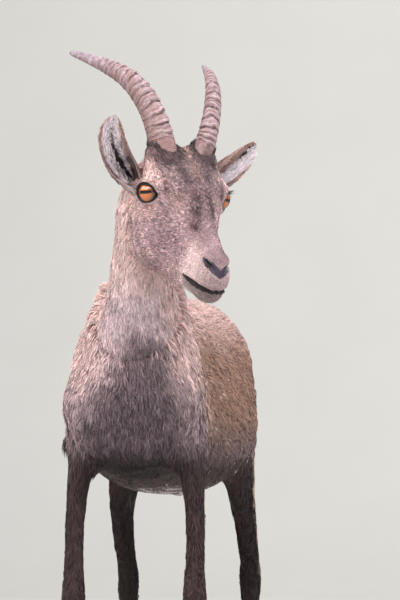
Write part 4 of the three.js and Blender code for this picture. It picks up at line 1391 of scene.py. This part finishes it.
# Hair of the ears: short on the backs and the rims, long and white inside, black down the middle from tip
# to root. The rim next to the crown folds over, so its brown hair reaches farther in, most on the left ear.
ear_fold = {
    "left": (-1, profile([(0, -0.3), (0.3, -0.3), (0.6, -0.1), (0.85, 0.45), (1, 0.8)])),
    "right": (1, profile([(0, 0.1), (0.25, 0.3), (0.5, 0.62), (0.75, 0.8), (1, 0.86)])),
}
ear_hair = {  # how many, their length, lift and width, how far they lean to the edge, and their colour
    "outer": (3600, 9, 1.4, 1.3, -0.15, (192, 154, 142)),
    "inner": (3400, 15, 3.2, 1.2, 0.4, (226, 212, 218)),
    "stripe": (1100, 8, 2.2, 1.2, -0.5, (42, 34, 40)),
    "root": (380, 24, 6.0, 1.4, -0.3, (224, 204, 204)),
}
for ear_name, (crown_side, fold_edge) in ear_fold.items():
    for kind, (count, length, lift, width, toward, tone) in ear_hair.items():
        along = random.uniform(0.1, 0.99, count)
        turn = random.uniform(-1, 1, count)
        if kind == "inner":
            turn = np.sign(turn) * (0.22 + 0.76 * np.abs(turn))
        if kind == "stripe":
            turn = (0.17 + 0.1 * ease(0.6, 0.2, along)) * random.uniform(-2, 2, count)
        if kind == "root":
            along = 0.08 + 0.26 * random.uniform(0, 1, count)
            turn = -crown_side * random.uniform(0.55, 1, count)
        roots, normals, tangents = ear_point(ear_name, along, turn, kind != "outer")
        edge_way = unit(ear_point(ear_name, along, turn * 0.4, kind != "outer")[0] - roots)
        lie = (-0.8 if kind == "root" else 1.0) * tangents + toward * edge_way
        folded = ease(-0.06, 0.06, crown_side * turn - fold_edge(along))
        at_rim = np.maximum(folded, ease(0.82, 0.9, -crown_side * turn)) * (kind != "root")
        own_length = length * (0.5 + 0.5 * ease(1.0, 0.75, along)) * (1 - 0.45 * at_rim)
        if kind == "inner":
            own_length = own_length * (0.45 + 0.55 * ease(0.3, 0.7, np.abs(turn)))
        tone = layered(ink(*tone), ((kind == "outer") * ease(0.5, 0.15, along), (136, 102, 94)))
        brown = layered(ink(186, 148, 136), (ease(0.62, 0.2, along), (112, 82, 76)))
        tone = lay(tone, at_rim * (kind in ("inner", "stripe")), brown)
        grown = (own_length, lift * (1 - 0.6 * at_rim), width, 1.2)
        chart = 0.01 + 0.97 * np.stack([along, (turn + 1) / 2], -1)
        locks = gather(roots, tangents, 6)
        label = f"coat_ear_{kind}_{ear_name}"
        tuft_mesh(label, roots, normals, lie, grown, tone, 0.2, locks, chart, 2, follow=False)


# Hair that stands up round the roots of the horns, and the tawny mop between them.
for side_name, side in sides.items():
    count = 1100
    horn_up = horn_way(side_name, 0)
    turn = random.uniform(0, 2 * math.pi, count)
    ring = np.stack([np.cos(turn), np.sin(turn), np.zeros(count)], -1)
    ring = unit(ring - (ring @ horn_up)[:, None] * horn_up)
    distance = random.uniform(19, 31, count)[:, None] * (1 - 0.26 * np.abs(ring[:, :1]))
    roots = settle(from_head(horn_place * [side, 1, 1] + ring * distance), rounds=5, farthest=8)
    outwards = ring @ head_turn.T
    lie = horn_up @ head_turn.T + 0.35 * outwards + 0.12 * random.normal(size=(count, 3))
    normals = unit(outwards + 0.3 * skin_normal(roots)[1])
    off_middle = np.abs(to_head(roots)[:, 0])
    tone = layered(coat_colour(roots), (0.7 * ease(15, 6, off_middle), (186, 142, 122)))
    chart = 0.01 + 0.97 * np.stack([turn / (2 * math.pi), (distance[:, 0] - 10) / 30], -1)
    lengths = 8.5 * random.uniform(0.5, 1.3, count) * (1 - 0.45 * ease(22, 10, off_middle))
    grown = (lengths, 1.2, 1.2, 1.4)
    locks = gather(roots, lie, 8)
    label = "coat_horn_root_" + side_name
    tuft_mesh(label, roots, normals, lie, grown, tone, 0.3, locks, chart, 3, follow=False)


# Lashes over the eyes and a few long pale whiskers on lips and chin.
lashes = []
for side in sides.values():
    mirror = np.array([side, 1.0, 1.0])
    for turn in np.linspace(0.25, 2.9, 30):
        angle = math.radians(lid_edge(turn) + 9)
        sideways = math.cos(turn) * eye_along + math.sin(turn) * eye_up
        root = eye_place + (eye_radius + 2) * (math.sin(angle) * sideways + math.cos(angle) * eye_out)
        way = eye_out + 0.55 * sideways + [0, 0, -0.35] + 0.12 * random.normal(size=3)
        lashes.append((from_head(root * mirror), way * mirror, ink(34, 26, 28), random.uniform(7, 11), 0.55))
    for _ in range(12):
        root = np.array([random.uniform(4, 22), random.uniform(-166, -126), random.uniform(-84, -72)])
        root = settle(from_head(root * mirror)[None], rounds=5, farthest=8)[0]
        way = np.array([0.75, -0.35, -0.5 + 0.3 * random.normal()])
        lashes.append((root, way * mirror, ink(222, 210, 206), random.uniform(12, 22), 0.4))
roots, ways, shades, lengths, widths = (np.array(column) for column in zip(*lashes))
ways = unit(ways @ head_turn.T)
away = unit(np.cross(ways, [0.3, 0.2, 1.0]))
alone = np.arange(len(roots)), np.zeros((len(roots), 3))
lash_sizes, chart = (lengths, 1.2, widths, 0.1), chart_of("head", roots)
tuft_mesh("lashes_whiskers", roots, away, ways, lash_sizes, shades, 0.05, alone, chart, 1, follow=False)


# Studio. A pale sheet runs from under the hooves up behind the animal, in soft light from wide lamps. It
# is clear from behind, so that the animal can be seen from every side.
sheet_width, floor_depth, wall_height, bend_radius = 12.0, 10.0, 7.0, 2.0
path = [(-9.0, 0.0), (floor_depth - bend_radius, 0.0)]
for turn in np.linspace(0, math.pi / 2, 16)[1:]:
    bend = np.array([math.sin(turn) - 1, 1 - math.cos(turn)]) * bend_radius
    path.append((floor_depth + bend[0], bend[1]))
path.append((floor_depth, wall_height))
sheet_points = np.array([(x, y, z) for y, z in path for x in (-sheet_width, sheet_width)])
sheet_faces = [(2 * i, 2 * i + 1, 2 * i + 3, 2 * i + 2) for i in range(len(path) - 1)]
floor = plain_mesh("studio_floor", sheet_points, sheet_faces)
floor_material, tree, shader = material("paper", 0.9, 0.2)
paper = add(tree, "TexNoise", place_on(tree), None, 3.0, 2.0)
wire(blend(tree, paper, (204, 202, 197), (210, 208, 203)), shader)
from_behind = tree.nodes.new("ShaderNodeNewGeometry").outputs["Backfacing"]
wire(add(tree, "MapRange", from_behind, 0.0, 1.0, 1.0, 0.0), shader, "Alpha")
floor.data.materials.append(floor_material)
smooth(floor)

world = bpy.data.worlds.new("studio")
world.use_nodes = True
sky = world.node_tree.nodes["Background"].inputs
sky["Color"].default_value = (0.86, 0.9, 1.0, 1)
sky["Strength"].default_value = 0.3
bpy.context.scene.world = world
chest_middle = (0.0, 0.0, 0.6)
lamps = (  # place, what it is aimed at, width, height, watts and tint
    ("softbox", (0.5, -2.9, 3.1), chest_middle, 4.2, 1.6, 82, (0.97, 0.98, 1.0)),
    ("side box", (-3.0, -2.3, 3.2), chest_middle, 6.0, 1.9, 168, (1.0, 0.98, 0.96)),
    ("far side box", (3.6, -1.6, 3.0), chest_middle, 3.2, 1.5, 92, (0.95, 0.97, 1.0)),
    ("overhead", (0.2, 0.4, 3.8), chest_middle, 2.4, 2.4, 66, (1.0, 0.99, 0.97)),
    ("behind", (1.8, 3.0, 2.6), chest_middle, 2.0, 2.0, 40, (1.0, 0.98, 0.95)),
    ("backdrop", (0.0, 5.5, 4.6), (0.0, 10.0, 1.2), 6.0, 2.0, 260, (1.0, 0.995, 0.98)),
)
for label, place, aimed_at, wide, high, watts, tint in lamps:
    lamp_data = bpy.data.lights.new(label, "AREA")
    lamp_data.shape = "RECTANGLE"
    lamp_data.size = wide
    lamp_data.size_y = high
    lamp_data.energy = watts
    lamp_data.color = tint
    lamp = bpy.data.objects.new(label, lamp_data)
    lamp.location = place
    lamp.rotation_euler = (Vector(place) - Vector(aimed_at)).to_track_quat("Z", "Y").to_euler()
    bpy.context.collection.objects.link(lamp)
bpy.context.scene.view_settings.view_transform = "Standard"
